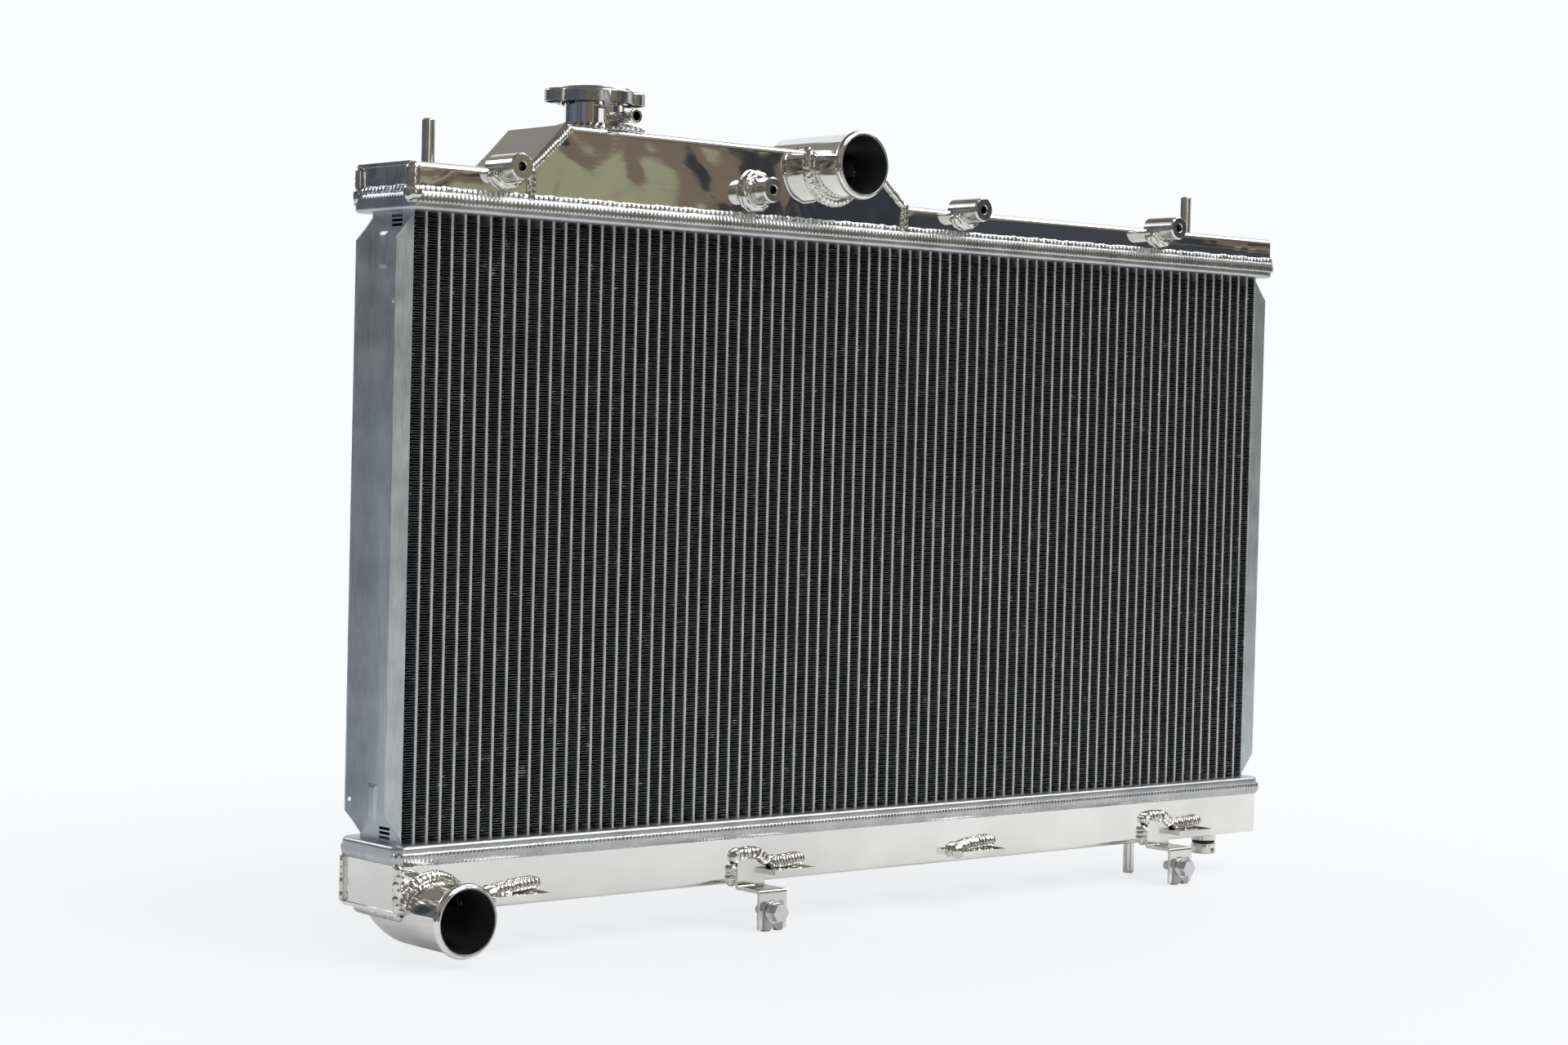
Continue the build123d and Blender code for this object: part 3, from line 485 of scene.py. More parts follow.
turned_work = {
    "overflow_nipple": ("polished_tube", mirror_tube, 0.15),
    "lower_pins": ("turned_aluminium", turned_z, 0.35),
    "upper_pins": ("turned_aluminium", turned_z, 0.35),
    "shroud_bosses": ("turned_aluminium", turned_y, 0.45),
    "drain_bung": ("turned_aluminium", turned_z, 0.25),
    "drain_plug": ("turned_aluminium", turned_z, 0.25),
    "drain_o_ring": ("seal_rubber", seal_rubber, 0.1),
    "filler_neck": ("turned_aluminium", mirror_tube, 0.2),
    "cap_rivet": ("cap_steel", cap_plate, 0.2),
    "clip_nuts": ("clip_steel", clip_plate, 0.15),
    "bracket_bolts": ("zinc_steel", zinc_plate, 0.25),
}
for node, (slot, finish, width) in {**sheet_work, **turned_work}.items():
    dress(node, finish, width)
print("parts dressed:", len(sheet_work) + len(turned_work))

# %% [markdown]
# The side plates are pressed with shallow ribs whose flanks lean by less than
# thirty degrees. Shading them smooth would smear a rib over the whole web, so
# here an edge counts as sharp from fifteen degrees on.

# %% Dress the side plates
for node in ("side_plate_left", "side_plate_right"):
    dress(node, plate_satin, 0.4, smooth=15)
print("side plates dressed: 2")

# %% [markdown]
# The faces on top of the pressed dome in the middle of the cap are painted
# near black. This dark disc is partly the cap's own and partly a painted
# reflection of the dim ceiling that the dome mirrors.

# %% Dress the cap
cap_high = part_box("cap_shell")[1].z


def on_dome(face):
    return face.calc_center_median().z > cap_high - 0.3 * mm


# The dome's faces get the near black that is partly painted reflection.
dress("cap_shell", cap_plate, 0.25, dark_dome_and_reflection, on_dome)
print("cap top:", round(cap_high, 4))

# %% [markdown]
# The two hose necks are polished outside and dull inside, where nobody buffs
# them; the bore is also painted a darker grey, which is painted shade inside
# the pipe. A face belongs to the bore when it lies nearer to the pipe's middle
# line than the outside wall does. The inlet is straight; the outlet runs
# straight in and then turns up in an elbow.

# %% Dress the hose necks
inlet_low, inlet_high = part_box("inlet_pipe")
outlet_low, outlet_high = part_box("outlet_pipe")
bore_limit = 18.35 * mm
inlet_x = (inlet_low.x + inlet_high.x) / 2
inlet_z = (inlet_low.z + inlet_high.z) / 2
outlet_x = (outlet_low.x + outlet_high.x) / 2
elbow_y, elbow_z = -12 * mm, 31 * mm


def in_inlet(face):
    spot = face.calc_center_median()
    return math.hypot(spot.x - inlet_x, spot.z - inlet_z) < bore_limit


def in_outlet(face):
    spot = face.calc_center_median()
    if spot.y < elbow_y:
        return math.hypot(spot.x - outlet_x, spot.z) < bore_limit
    turn = math.hypot(spot.y - elbow_y, spot.z - elbow_z) - elbow_z
    return math.hypot(spot.x - outlet_x, turn) < bore_limit


dress("inlet_pipe", mirror_tube, 0.25, bore_skin_and_shade, in_inlet)
dress("outlet_pipe", mirror_tube, 0.25, bore_skin_and_shade, in_outlet)
print("inlet middle:", round(inlet_x, 4), round(inlet_z, 4))

# %% [markdown]
# Where the elbow turns up into the bottom tank, the bore of the plain solids
# also bites through the tank's rear wall. A real tank is tight there. A block
# as thick as the wall is laid across the bite and joined to a copy of the tank
# with a boolean, which leaves one flat wall and no seam.

# %% Close and dress the bottom tank
tank_low, tank_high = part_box("bottom_tank")
wall, fold, patch_wide = 2 * mm, 3 * mm, 39 * mm


def add_bar(shape, middle, size):
    """Adds a block of this size."""
    made = bmesh.ops.create_cube(shape, size=1.0)["verts"]
    bmesh.ops.scale(shape, vec=size, verts=made)
    bmesh.ops.translate(shape, vec=middle, verts=made)


def joined(*shapes):
    """One closed shape from two that overlap or lie face to face."""
    first, second = (as_object("helper", shape) for shape in shapes)
    union = first.modifiers.new("union", "BOOLEAN")
    union.operation, union.solver, union.object = "UNION", "EXACT", second
    bpy.context.view_layer.update()
    whole = bmesh.new()
    whole.from_object(first, bpy.context.view_layer.depsgraph)
    for helper in (first, second):
        mesh = helper.data
        bpy.data.objects.remove(helper)
        bpy.data.meshes.remove(mesh)
    merge_flat(whole)
    return whole


patch = bmesh.new()
patch_low = tank_low.z + fold
add_bar(patch, (outlet_x, tank_high.y - wall / 2, (patch_low + tank_high.z) / 2),
        (patch_wide, wall, tank_high.z - patch_low))
shape = joined(merged_copy("bottom_tank"), patch)
open_edges = sum(not edge.is_manifold for edge in shape.edges)
tank = new_piece("bottom_tank_shown", shape, "radiator",
                 [mirror_sheet], ["bottom_tank"])
round_edges(tank, 0.3)
print("bottom tank faces:", len(tank.data.polygons), "open edges:", open_edges)

# %% [markdown]
# What sits inside the cap is hidden until the cap comes off. These parts keep
# their plain shape, and each gets the finish of its real metal or rubber.

# %% Finishes for the hidden parts
hidden_work = {
    "cap_spring_bell": cap_plate, "cap_gasket": black_rubber,
    "pressure_valve": cap_plate, "pressure_seal": black_rubber,
    "vacuum_valve": valve_brass}
for node, finish in hidden_work.items():
    nodes[node].data.materials.clear()
    nodes[node].data.materials.append(finish.material)
print("hidden parts:", len(hidden_work))

# %% [markdown]
# Two springs shut the valves. When a valve moves, its spring has to shorten by
# the same stroke, towards the end that stays put: the big one hangs from the
# bell, the small one stands on the pressure valve. Here each spring gets its
# own copy of its mesh, and the share of its length that it would keep at full
# stroke is worked out and printed; the coils are not squashed.

# %% The springs
stroke = {joint["name"]: joint["range_m"][1]
          for joint in frame["record"]["behaviour"]["joints"] if "range_m" in joint}
for node, joint, fixed in (("pressure_spring", "pressure_valve_lift", 1),
                           ("vacuum_spring", "vacuum_valve_drop", 0)):
    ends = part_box(node)
    spring = new_piece(node + "_shown", merged_copy(node), body_of_node[node],
                       [spring_wire], [node])
    keep = 1 - stroke[joint] / (ends[1].z - ends[0].z)
    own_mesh(spring)
    print(node, "keeps", round(keep, 3))

# %% [markdown]
# The core has eighty flat tubes, two millimetres thick and forty deep. They
# are folded from strip, so the nose of each one is nearly a half round. One bar
# is made, its upright edges are bevelled round, and copies are set side by side.

# %% Core tubes
tubes_low, tubes_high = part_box("core_tubes")
tube_pitch, tube_count, tube_thick, nose = 8.5 * mm, 80, 2.0 * mm, 0.8 * mm
shape = bmesh.new()
tube_size = Vector((tube_thick, tubes_high.y - tubes_low.y, tubes_high.z - tubes_low.z))
first_x = tubes_low.x + tube_thick / 2
add_bar(shape, (first_x, 0, (tubes_low.z + tubes_high.z) / 2), tube_size)
upright = [e for e in shape.edges if abs(e.verts[0].co.z - e.verts[1].co.z) > 0.1]
bmesh.ops.bevel(shape, geom=upright, offset=nose, offset_type="OFFSET",
                segments=3, profile=0.5, affect="EDGES", material=-1)
bar = shape.verts[:] + shape.edges[:] + shape.faces[:]
for i in range(1, tube_count):
    copied = bmesh.ops.duplicate(shape, geom=bar)["geom"]
    moved = [g for g in copied if isinstance(g, bmesh.types.BMVert)]
    bmesh.ops.translate(shape, vec=(i * tube_pitch, 0, 0), verts=moved)
new_piece("tubes", shape, "radiator", [tube_satin], ["core_tubes"])
print("tubes:", tube_count)

# %% [markdown]
# Between the tubes runs one long strip of foil per gap, folded back and forth
# some 250 times and brazed to the tubes at its bends. The fold line is drawn
# as a chain of edges, pulled through the depth of the core, and given a
# thickness. Real foil is a tenth of a millimetre; here it is a quarter, so that
# its cut edges still show from two metres away. No two strips start at the same
# height, a fold is never quite level, and the ends stop short of the headers.

# %% Folded fins
fins_low, fins_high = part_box("core_fins")
fin_pitch, fin_wide, foil_thick, bend_depth = 1.38 * mm, 6.5 * mm, 0.25 * mm, 0.8 * mm
gaps_per_piece = 17
chance = random.Random(7)


def add_fold_line(shape, middle_x):
    """The folded line of one strip, as edges at the front of the core."""
    z = fins_low.z + chance.uniform(1.5, 3.5) * mm
    top = fins_high.z - chance.uniform(2.0, 5.0) * mm
    pitch = fin_pitch * chance.uniform(0.985, 1.015)
    inner, outer = fin_wide / 2 - bend_depth, (fin_wide - foil_thick) / 2
    shoulder = inner + bend_depth * 0.65
    side, last = 1, None
    while z < top:
        droop = chance.uniform(-0.07, 0.07) * mm
        bend = [(-inner, 0.0), (inner, droop), (shoulder, droop + pitch * 0.15),
                (outer, droop + pitch * 0.5), (shoulder, droop + pitch * 0.85)]
        for across, rise in bend:
            here = shape.verts.new((middle_x + side * across, fins_low.y, z + rise))
            if last:
                shape.edges.new((last, here))
            last = here
        side, z = -side, z + pitch


gap_count = tube_count + 1
first_gap = fins_low.x + fin_wide / 2
for start in range(0, gap_count, gaps_per_piece):
    shape = bmesh.new()
    for i in range(start, min(start + gaps_per_piece, gap_count)):
        add_fold_line(shape, first_gap + i * tube_pitch)
    pulled = bmesh.ops.extrude_edge_only(shape, edges=shape.edges[:])["geom"]
    moved = [g for g in pulled if isinstance(g, bmesh.types.BMVert)]
    bmesh.ops.translate(shape, vec=(0, fins_high.y - fins_low.y, 0), verts=moved)
    name = "fins_" + str(start // gaps_per_piece + 1)
    fins = new_piece(name, shape, "radiator", [fin_foil_painted_shade], ["core_fins"], 60)
    foil = fins.modifiers.new("foil", "SOLIDIFY")
    foil.thickness, foil.offset = foil_thick, 0
    print(name, "faces:", len(fins.data.polygons))

# %% [markdown]
# Every joint of the tanks is welded by hand. The torch moves on in small steps
# and each puddle freezes as a ring that overlaps the last one, like a row of
# coins pushed over. First comes the path that the torch follows: places along
# the joint, each with the direction in which the bead stands out there.

# %% Paths for the welds


def travel(path, distance):
    """The place, heading and outward direction at a distance along a path."""
    for (start, first_out), (end, last_out) in zip(path, path[1:]):
        length = (end - start).length
        if distance <= length or end is path[-1][0]:
            part = min(distance / length, 1.0)
            return (start.lerp(end, part), (end - start).normalized(),
                    first_out.lerp(last_out, part).normalized())
        distance -= length


def path_of(*stops):
    """A path in metres from places and outward directions in millimetres."""
    return [(Vector(place) * mm, Vector(out).normalized()) for place, out in stops]


def arc_path(middle, radius, start, end, outward, flat="XZ", steps=24):
    """Part of a circle; outward says how far the weld leans along the third axis."""
    stops = []
    for i in range(steps + 1):
        angle = math.radians(start + (end - start) * i / steps)
        a, b = math.cos(angle), math.sin(angle)
        spoke = Vector((a, 0, b)) if flat == "XZ" else Vector((a, b, 0))
        lean = Vector((0, outward, 0)) if flat == "XZ" else Vector((0, 0, outward))
        stops.append((Vector(middle) + spoke * radius, spoke * 0.6 + lean))
    return path_of(*stops)


print("places round a ring:", len(arc_path((0, 0, 0), 10, 0, 360, 0)))

# %% [markdown]
# A weld starts as a flat grid. One side of it runs along the path, the other is
# wrapped round into a bead, and a rippled height is added ring by ring. The
# ends are drawn in to a point, and the doubled corners are merged.

# %% A rippled bead


def add_weld(shape, path, width, height, pitch=2.6, lean=0.5, apex=0.0, depth=0.5,
             wander=0.25, closed=False, seed=1, fine=6, around=12):
    """A rippled bead along a path. Rings lean back from the apex line by lean rings."""
    luck = random.Random(seed)
    long = sum((b[0] - a[0]).length for a, b in zip(path, path[1:]))
    rings = max(2, round(long / (pitch * mm)))
    spare = rings + 4
    size = [1 + luck.uniform(-0.2, 0.2) for _ in range(spare)]
    slide = [luck.uniform(-1, 1) * wander * mm for _ in range(spare)]
    made = bmesh.ops.create_grid(shape, x_segments=rings * fine, y_segments=around,
                                 size=0.5)
    for vert in made["verts"]:
        along, turn = vert.co.x + 0.5, (vert.co.y + 0.5) * math.tau
        if turn > math.tau - 0.01:
            turn = 0.0
        if closed and along > 0.9999:
            along = 0.0
        middle, heading, out = travel(path, along * long)
        side = heading.cross(out).normalized()
        across = math.sin(turn)
        where = along * rings + lean * abs(across - apex) * 1.5
        ring = math.floor(where) % (rings if closed else spare)
        part = where % 1.0
        swell = 1 + 0.5 * depth * (math.sin(math.pi * part ** 0.7) - 0.6) * size[ring]
        reach = 1.0
        if not closed:
            to_end = min(along, 1 - along) * long / (width * mm / 2)
            reach = math.sqrt(max(0.0, 1 - max(0.0, 1 - to_end) ** 2))
        rise = -math.cos(turn) * height * mm * reach
        rise = rise * swell if rise > 0 else rise * 0.25
        spread = across * width * mm / 2 * reach * (1 + 0.12 * (swell - 1))
        vert.co = middle + side * (spread + slide[ring] * reach) + out * rise


def add_line(shape, start, end, out, width, height, **looks):
    """A straight weld that leans out the same way from end to end."""
    add_weld(shape, path_of((start, out), (end, out)), width, height, **looks)


def finish_welds(name, shape, metal=weld_metal, stands_for=(), smooth=50):
    """Closes the beads of a group and makes them a piece."""
    bmesh.ops.remove_doubles(shape, verts=shape.verts, dist=0.01 * mm)
    bmesh.ops.recalc_face_normals(shape, faces=shape.faces)
    piece = new_piece(name, shape, "radiator", [metal], stands_for, smooth)
    print(name, "faces:", len(piece.data.polygons))


print("weld helpers ready")

# %% [markdown]
# The long seams join each tank to its header all the way round. The welder
# weaves here, so the ripples meet in arrowheads: coarse bright scales beside
# the tank and a finer row beside the header. The arrows point left along the
# top seam and right along the bottom one. All welds are measured in
# millimetres, from the ends, walls and rims of the tanks.

# %% The two long seams
raised_low, raised_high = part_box("top_tank_raised")
left_end, right_end = tank_low.x / mm, tank_high.x / mm
front, rear = tank_low.y / mm, tank_high.y / mm
top_rim, bottom_rim = raised_low.z / mm, tank_high.z / mm


def seam_path(z, tilt, ahead=1.0, corner=3.0):
    """Once round a tank at its walls, and a little ahead of them at the front."""
    x0, x1, y0, y1 = left_end, right_end, front - ahead, rear
    stops = []
    for x, y, start in ((x0, y0, 180), (x1, y0, 270), (x1, y1, 0), (x0, y1, 90)):
        cx = x + corner if x == x0 else x - corner
        cy = y + corner if y == y0 else y - corner
        for i in range(5):
            angle = math.radians(start + 22.5 * i)
            spoke = (math.cos(angle), math.sin(angle))
            stops.append(((cx + spoke[0] * corner, cy + spoke[1] * corner, z),
                          (spoke[0], spoke[1], tilt)))
    return path_of(*stops, stops[0])


fine_row = {"pitch": 2.7, "apex": 0.1, "depth": 0.6, "wander": 0.1, "closed": True}
shape = bmesh.new()
add_weld(shape, seam_path(top_rim + 0.2, 0.27), 7.8, 1.5, lean=-1.1, seed=3, **fine_row)
add_weld(shape, seam_path(top_rim + 4.0, 0.1, ahead=0.1), 4.4, 1.4, pitch=3.4,
         lean=-0.7, apex=-0.8, depth=1.1, wander=0.35, closed=True, seed=7)
finish_welds("top_seam", shape, seam_metal, ["seam_bead_top"], smooth=35)
shape = bmesh.new()
add_weld(shape, seam_path(bottom_rim - 0.2, -0.27), 7.8, 1.5, lean=1.1, seed=4,
         **fine_row)
finish_welds("bottom_seam", shape, seam_metal, ["seam_bead_bottom"], smooth=35)

# %% [markdown]
# The short welds are quicker work: thick beads up the corners of the top tank's
# left end, each on a fat foot at the rim, and thinner ones along the slopes and
# up the ends of the raised middle, at the front and at the rear.

# %% Welds of the top tank
low_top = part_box("top_tank_left")[1].z / mm
high_top = raised_high.z / mm
seam_left, seam_right = raised_low.x / mm, raised_high.x / mm
slope_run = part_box("slope_plate_left")[1].x / mm
shape = bmesh.new()
end_x = left_end + 1.2
for y, seed in ((front + 1.2, 5), (rear - 3.0, 6)):
    out = (-1, math.copysign(1, y), 0)
    add_line(shape, (end_x, y, top_rim + 1), (end_x, y, low_top - 0.5), out,
             8.0, 2.8, pitch=3.4, depth=0.3, seed=seed)
    add_line(shape, (end_x, y, top_rim - 3.5), (end_x, y, top_rim + 7.5), out,
             10.5, 3.8, pitch=11, depth=0.1, seed=seed + 2)
slopes = ((seam_left - 3, slope_run, -0.35, 11),
          (seam_right - 3.5, seam_right - 36, 0.35, 12))
for y, toward in ((front - 0.2, -1), (rear - 0.8, 1)):
    for low_x, top_x, lean_x, seed in slopes:
        add_line(shape, (low_x, y, low_top - 1), (top_x, y, high_top - 1),
                 (lean_x, toward, 0.3), 4.6, 1.7, pitch=2.1, depth=0.7, seed=seed)
    for x, seed in ((seam_left, 13), (seam_right - 3, 14)):
        add_weld(shape, path_of(((x, y, top_rim + 1), (0, toward, 0)),
                                ((x, y, low_top + 2), (0, toward, 0.1))),
                 5.5, 2.2, pitch=3.2, depth=0.7, seed=seed)
finish_welds("top_tank_welds", shape)

# %% [markdown]
# The filler neck stands in a ring of fat coins. In front of it, where the
# overflow nipple leaves little room for the torch, seven short beads fan out
# over the tank's edge instead of one smooth ring.

# %% Welds of the filler neck
neck_low, neck_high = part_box("filler_neck")
neck = ((neck_low + neck_high) / 2) / mm
shape = bmesh.new()
add_weld(shape, arc_path((neck.x, neck.y, high_top + 0.8), 19.0, 0, 360, 0.8, "XY", 48),
         7.0, 3.4, pitch=3.2, depth=0.9, closed=True, seed=21)
for i in range(7):
    swing = -0.75 + 0.22 * i
    start = (neck.x + 2 + swing * 9, front + 10.6, high_top + 3.5)
    end = (neck.x + 6 + swing * 17, front + 1.2, high_top + 0.2)
    add_weld(shape, path_of((start, (0, -0.3, 1)), (end, (0, -0.6, 0.8))),
             3.4, 1.7, pitch=2.2, depth=0.7, wander=0.4, seed=30 + i)
finish_welds("filler_neck_welds", shape)

# %% [markdown]
# Each hose neck lies half sunk in its tank. An arc of coins follows it round at
# the front wall, and straight beads run back along both of its sides. The same
# torch closes the left end of the bottom tank with two upright beads.

# %% Welds of the hose necks
inlet = ((inlet_low + inlet_high) / 2) / mm
outlet_mid = outlet_x / mm
shape = bmesh.new()
add_weld(shape, arc_path((inlet.x, front - 0.4, inlet.z), 20.6, 155, 385, -0.8),
         6.6, 3.0, pitch=3.2, depth=0.6, seed=41)
roof, half, tail = high_top + 0.3, 18, rear - 15.5
for side in (-1, 1):
    x = inlet.x + side * half
    add_line(shape, (x, front + 1, roof), (x, tail - 0.5, roof), (side, 0, 1.6),
             5.5, 2.0, pitch=3.2, seed=42 + side)
add_line(shape, (inlet.x - half, tail, roof), (inlet.x + half, tail, roof),
         (0, 1, 1.6), 5.5, 2.0, pitch=3.2, seed=45)
add_weld(shape, arc_path((outlet_mid, front - 0.4, 0), 20.4, 2, 178, -0.8),
         7.0, 3.0, pitch=3.0, depth=0.6, seed=46)
for side in (-1, 1):
    x = outlet_mid + side * 19.6
    add_line(shape, (x, front + 1, -0.6), (x, rear - 10, -0.6), (side, 0, -0.7),
             6.0, 2.4, depth=0.6, seed=48 + side)
end_x = left_end + 0.6
for y, seed in ((front + 0.6, 51), (rear - 1.2, 52)):
    add_line(shape, (end_x, y, 1), (end_x, y, bottom_rim - 2),
             (-1, math.copysign(1, y), 0), 6.0, 2.0, pitch=4.2, depth=0.7,
             wander=0.6, seed=seed)
finish_welds("hose_neck_welds", shape)

# %% [markdown]
# The four bosses take the bolts of the fan shrouds. Each gets two arcs of
# coins, a wide one on the tank's wall and a narrow one on the boss itself. They
# run round underneath and stay open above, where the tank's top edge begins;
# only the second boss, on the raised middle, is welded all the way round.

# %% Welds of the bosses
bosses_low, bosses_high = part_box("shroud_bosses")
boss_z = (bosses_low.z + bosses_high.z) / 2 / mm
boss_arcs = ((-276.3, 195, 345), (-97.3, 0, 360), (73.7, 195, 345), (252.7, 195, 345))
shape = bmesh.new()
for i, (x, start, end) in enumerate(boss_arcs):
    add_weld(shape, arc_path((x, front - 0.6, boss_z), 9.4, start, end, -0.7),
             6.6, 3.2, pitch=4.6, lean=0.4, wander=0.6, seed=60 + i)
    add_weld(shape, arc_path((x, front - 2.4, boss_z), 8.4, start, end, -0.5),
             4.2, 2.0, pitch=4.0, depth=0.4, wander=0.4, seed=70 + i)
finish_welds("boss_welds", shape)

# %% [markdown]
# Heavy beads hold the fan tabs and the lower brackets. On a tab the bead rises
# from left to right, with a thick puddle at its left end. On a bracket it runs
# up the left edge of the plate, over its top and down on the tab beside it.
# The four locating pins each stand in a small ring.

# %% Welds of the tabs, brackets and pins
tab_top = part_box("shroud_tabs")[1].z / mm
brackets_low, brackets_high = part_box("lower_brackets")
plate_top, plate_half = brackets_high.z / mm, 10.5
bracket_places = (brackets_low.x / mm + plate_half, brackets_high.x / mm - plate_half)
lone_tabs, lone_half, joined_tab = (-261.3, 93.9), 19.0, 31.7
ahead = (0, -1, 0.35)
shape = bmesh.new()
for i, x in enumerate(lone_tabs):
    left, end = x - lone_half, x + lone_half
    add_weld(shape, path_of(((left + 4, front - 0.6, tab_top + 1.5), ahead),
                            ((x, front - 1, tab_top + 3.4), ahead),
                            ((end - 0.5, front - 1.2, tab_top + 4.6), ahead)),
             7.6, 3.4, pitch=2.5, lean=0.6, depth=0.7, wander=0.4, seed=80 + i)
    add_line(shape, (left - 1.5, front - 1.5, tab_top - 0.5),
             (left + 9, front - 2.5, tab_top + 0.5), ahead,
             10.5, 4.2, pitch=5, lean=0.3, wander=0.2, seed=84 + i)
for i, x in enumerate(bracket_places):
    left, end = x - plate_half - 3.2, x + plate_half
    add_line(shape, (left, front - 0.4, -1.5), (left, front - 0.4, plate_top - 3),
             (-0.2, -1, 0), 7.0, 3.2, pitch=3.0, depth=0.7, wander=0.3, seed=90 + i)
    over = path_of(((left, front - 0.8, plate_top - 3), (-0.2, -1, 0.2)),
                   ((left + 3, front - 0.8, plate_top + 1.6), (0, -1, 0.2)),
                   ((x + 4, front - 1.2, plate_top + 2.0), (0, -1, 0.2)),
                   ((end - 1, front - 1.2, tab_top + 6), (0.2, -1, 0.2)),
                   ((end + 3, front - 1.4, tab_top + 3.2), ahead))
    add_weld(shape, over, 7.4, 3.6, pitch=2.8, depth=0.8, wander=0.4, seed=94 + i)
    add_line(shape, (end + 3, front - 1.2, tab_top + 3),
             (end + joined_tab - 1, front - 1.2, tab_top + 4.6), ahead,
             7.6, 3.4, pitch=2.4, lean=0.6, depth=0.85, wander=0.4, seed=98 + i)
for node, z, out in (("lower_pins", 0.0, -0.8), ("upper_pins", low_top, 0.8)):
    pins_low, pins_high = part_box(node)
    for x in (pins_low.x / mm + 3.6, pins_high.x / mm - 3.6):
        add_weld(shape, arc_path((x, 0, z), 4.8, 0, 360, out, "XY", 32), 3.4, 1.6,
                 pitch=2.2, closed=True, seed=round(x))
finish_welds("bracket_and_tab_welds", shape)

# %% [markdown]
# The radiator stands on a plain white table. In the polished metal the table is
# lit paint all over. Where the camera sees it directly, near the radiator, a
# quarter of it is lit paint, which keeps the soft shadow, and further out it
# fades into the white of the backdrop, so that no edge shows.

# %% Table
floor_z, table_half, studio_white = frame_box[0].z, 1.25, shade("fafcfe")
shape = bmesh.new()
bmesh.ops.create_grid(shape, x_segments=1, y_segments=1, size=table_half)
bmesh.ops.translate(shape, vec=(0, 0, floor_z), verts=shape.verts)
table = as_object("table", shape)
table_white = Finish("table white", "ecebe8", 0.7, metallic=0.0)
table.data.materials.append(table_white.material)
far = table_white.add("ShaderNodeVectorMath", {"operation": "LENGTH"},
                      {0: table_white.place()}, "Value")
fade = table_white.add("ShaderNodeMapRange", {"interpolation_type": "SMOOTHSTEP"},
                       {"Value": far, "From Min": 0.2, "From Max": 0.9, "To Min": 0.76})
seen = table_white.add("ShaderNodeLightPath", {}, {}, "Is Camera Ray")
glow = table_white.add("ShaderNodeEmission", {},
                       {"Color": studio_white, "Strength": 1.0})
skin = Value(table_white, table_white.shader.outputs[0])
both = table_white.add("ShaderNodeMixShader", {}, {0: fade * seen, 1: skin, 2: glow})
table_white.plug(table_white.nodes["Material Output"].inputs["Surface"], both)
print("table at", round(floor_z, 4))

# %% [markdown]
# Polished metal looks like what it mirrors, so the room matters as much as the
# finish. Round the table lies a dim workshop in blotches of khaki, brown and
# near black, with a grey ceiling, a few bright windows and a white card behind
# the radiator. Only mirrors see it: seen directly the backdrop is white, and
# the soft light on dull surfaces comes from an even pale grey.

# %% Room
world = bpy.data.worlds.new("room")
bpy.context.scene.world = world
world.use_nodes = True


class Room(Finish):
    """The world's nodes, written like a finish."""

    def __init__(self, tree):
        self.nodes, self.links = tree.nodes, tree.links


room = Room(world.node_tree)
sight = room.add("ShaderNodeTexCoord", {}, {}, "Generated")
height = room.add("ShaderNodeSeparateXYZ", {}, {"Vector": sight}, "Z")


def step(value, low, high):
    """0 below low, 1 above high, smooth between."""
    return room.add("ShaderNodeMapRange", {"interpolation_type": "SMOOTHSTEP"},
                    {"Value": value, "From Min": low, "From Max": high})


def towards(direction, wide, soft):
    """1 within so many degrees of a direction, fading over a few more."""
    near = room.add("ShaderNodeVectorMath", {"operation": "DOT_PRODUCT"},
                    {0: sight, 1: Vector(direction).normalized()}, "Value")
    return step(near, math.cos(math.radians(wide + soft)), math.cos(math.radians(wide)))


def cloud(scale, warp):
    """Blotches over the whole room, finer with a larger scale."""
    return room.add("ShaderNodeTexNoise", {}, {"Vector": sight, "Scale": scale,
                                               "Detail": 3.0, "Distortion": warp})


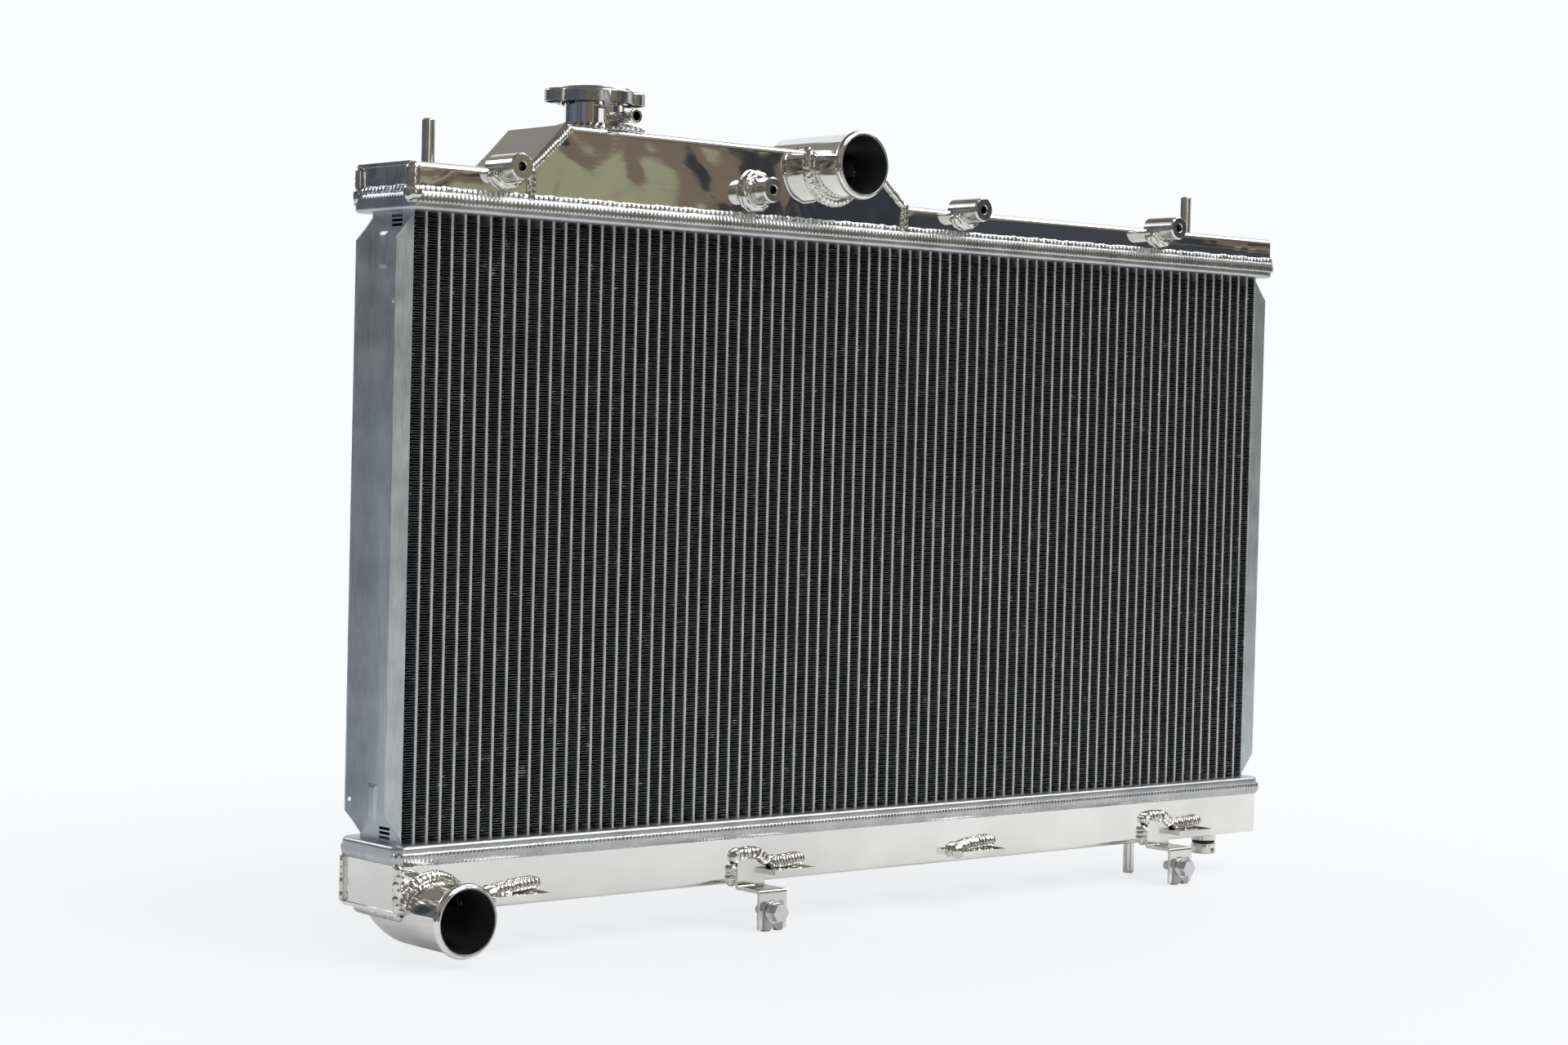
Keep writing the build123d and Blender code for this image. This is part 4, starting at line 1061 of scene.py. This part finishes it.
khaki = room.mix(step(cloud(6.0, 0.6), 0.5, 0.53), shade("77695d"), shade("9a9a80"))
blotches = room.mix(step(cloud(9.0, 1.6), 0.52, 0.54), khaki, shade("34373c"))
left_wall = room.mix(step(cloud(5.0, 0.4), 0.4, 0.6), shade("3b4046"), shade("6a7079"))
dim_corner = room.mix(towards((0.79, -0.61, 0.05), 7, 4), blotches, shade("43464b"))
workshop = room.mix(towards((-0.8, 0.6, 0), 50, 12), dim_corner, left_wall)
ceiling = room.mix(step(height, 0.62, 0.7), shade("8f8b86"), shade("6d6762"))
walls = room.mix(step(height, 0.32, 0.42), workshop, ceiling)
windows = step(towards((-0.4, 0.76, 0.51), 8, 3) + towards((0.66, 0.0, 0.75), 20, 6)
               + towards((0.2, -0.62, 0.75), 16, 6) + towards((-0.2, -0.97, 0.12), 8, 3)
               + towards((0.97, -0.1, 0.15), 9, 3), 0.0, 1.0)
paper = towards((0.5, 0.87, 0.0), 31, 7)
mirrored = room.mix(paper, room.mix(windows, walls, shade("ffffff")), shade("f2f4f6"))
direct = room.add("ShaderNodeLightPath", {}, {}, "Is Camera Ray")
glossy = room.add("ShaderNodeLightPath", {}, {}, "Is Glossy Ray")
soft = room.mix(glossy, shade("cfd2d6"), mirrored)
sky = room.mix(direct, soft, studio_white)
room.plug(room.nodes["Background"].inputs["Color"], sky)
room.plug(room.nodes["Background"].inputs["Strength"], 1.0)
print("room nodes:", len(room.nodes))

# %% [markdown]
# Three wide lamps light it: the strongest high in front, a second one high on
# the right, and a small one far back on the left. Together they are set so
# that a colour comes out about as it is written.

# %% Lamps


def add_lamp(name, place, target, size, power):
    """A square area lamp at a place, turned to a target."""
    lamp = bpy.data.lights.new(name, "AREA")
    lamp.size, lamp.energy = size, power
    holder = bpy.data.objects.new(name, lamp)
    aim = Vector(target) - Vector(place)
    turn = aim.to_track_quat("-Z", "Y").to_matrix().to_4x4()
    holder.matrix_world = Matrix.Translation(place) @ turn
    bpy.context.scene.collection.objects.link(holder)


add_lamp("right softbox", (1.6, -0.3, 2.1), (0, 0, 0.1), size=1.2, power=16)
add_lamp("front softbox", (0.4, -1.7, 2.2), (0, 0, 0.1), size=1.4, power=24)
add_lamp("left window", (-1.1, 2.1, 1.5), (0, 0, 0.3), size=0.5, power=6)
print("lamps: 3")

# %% [markdown]
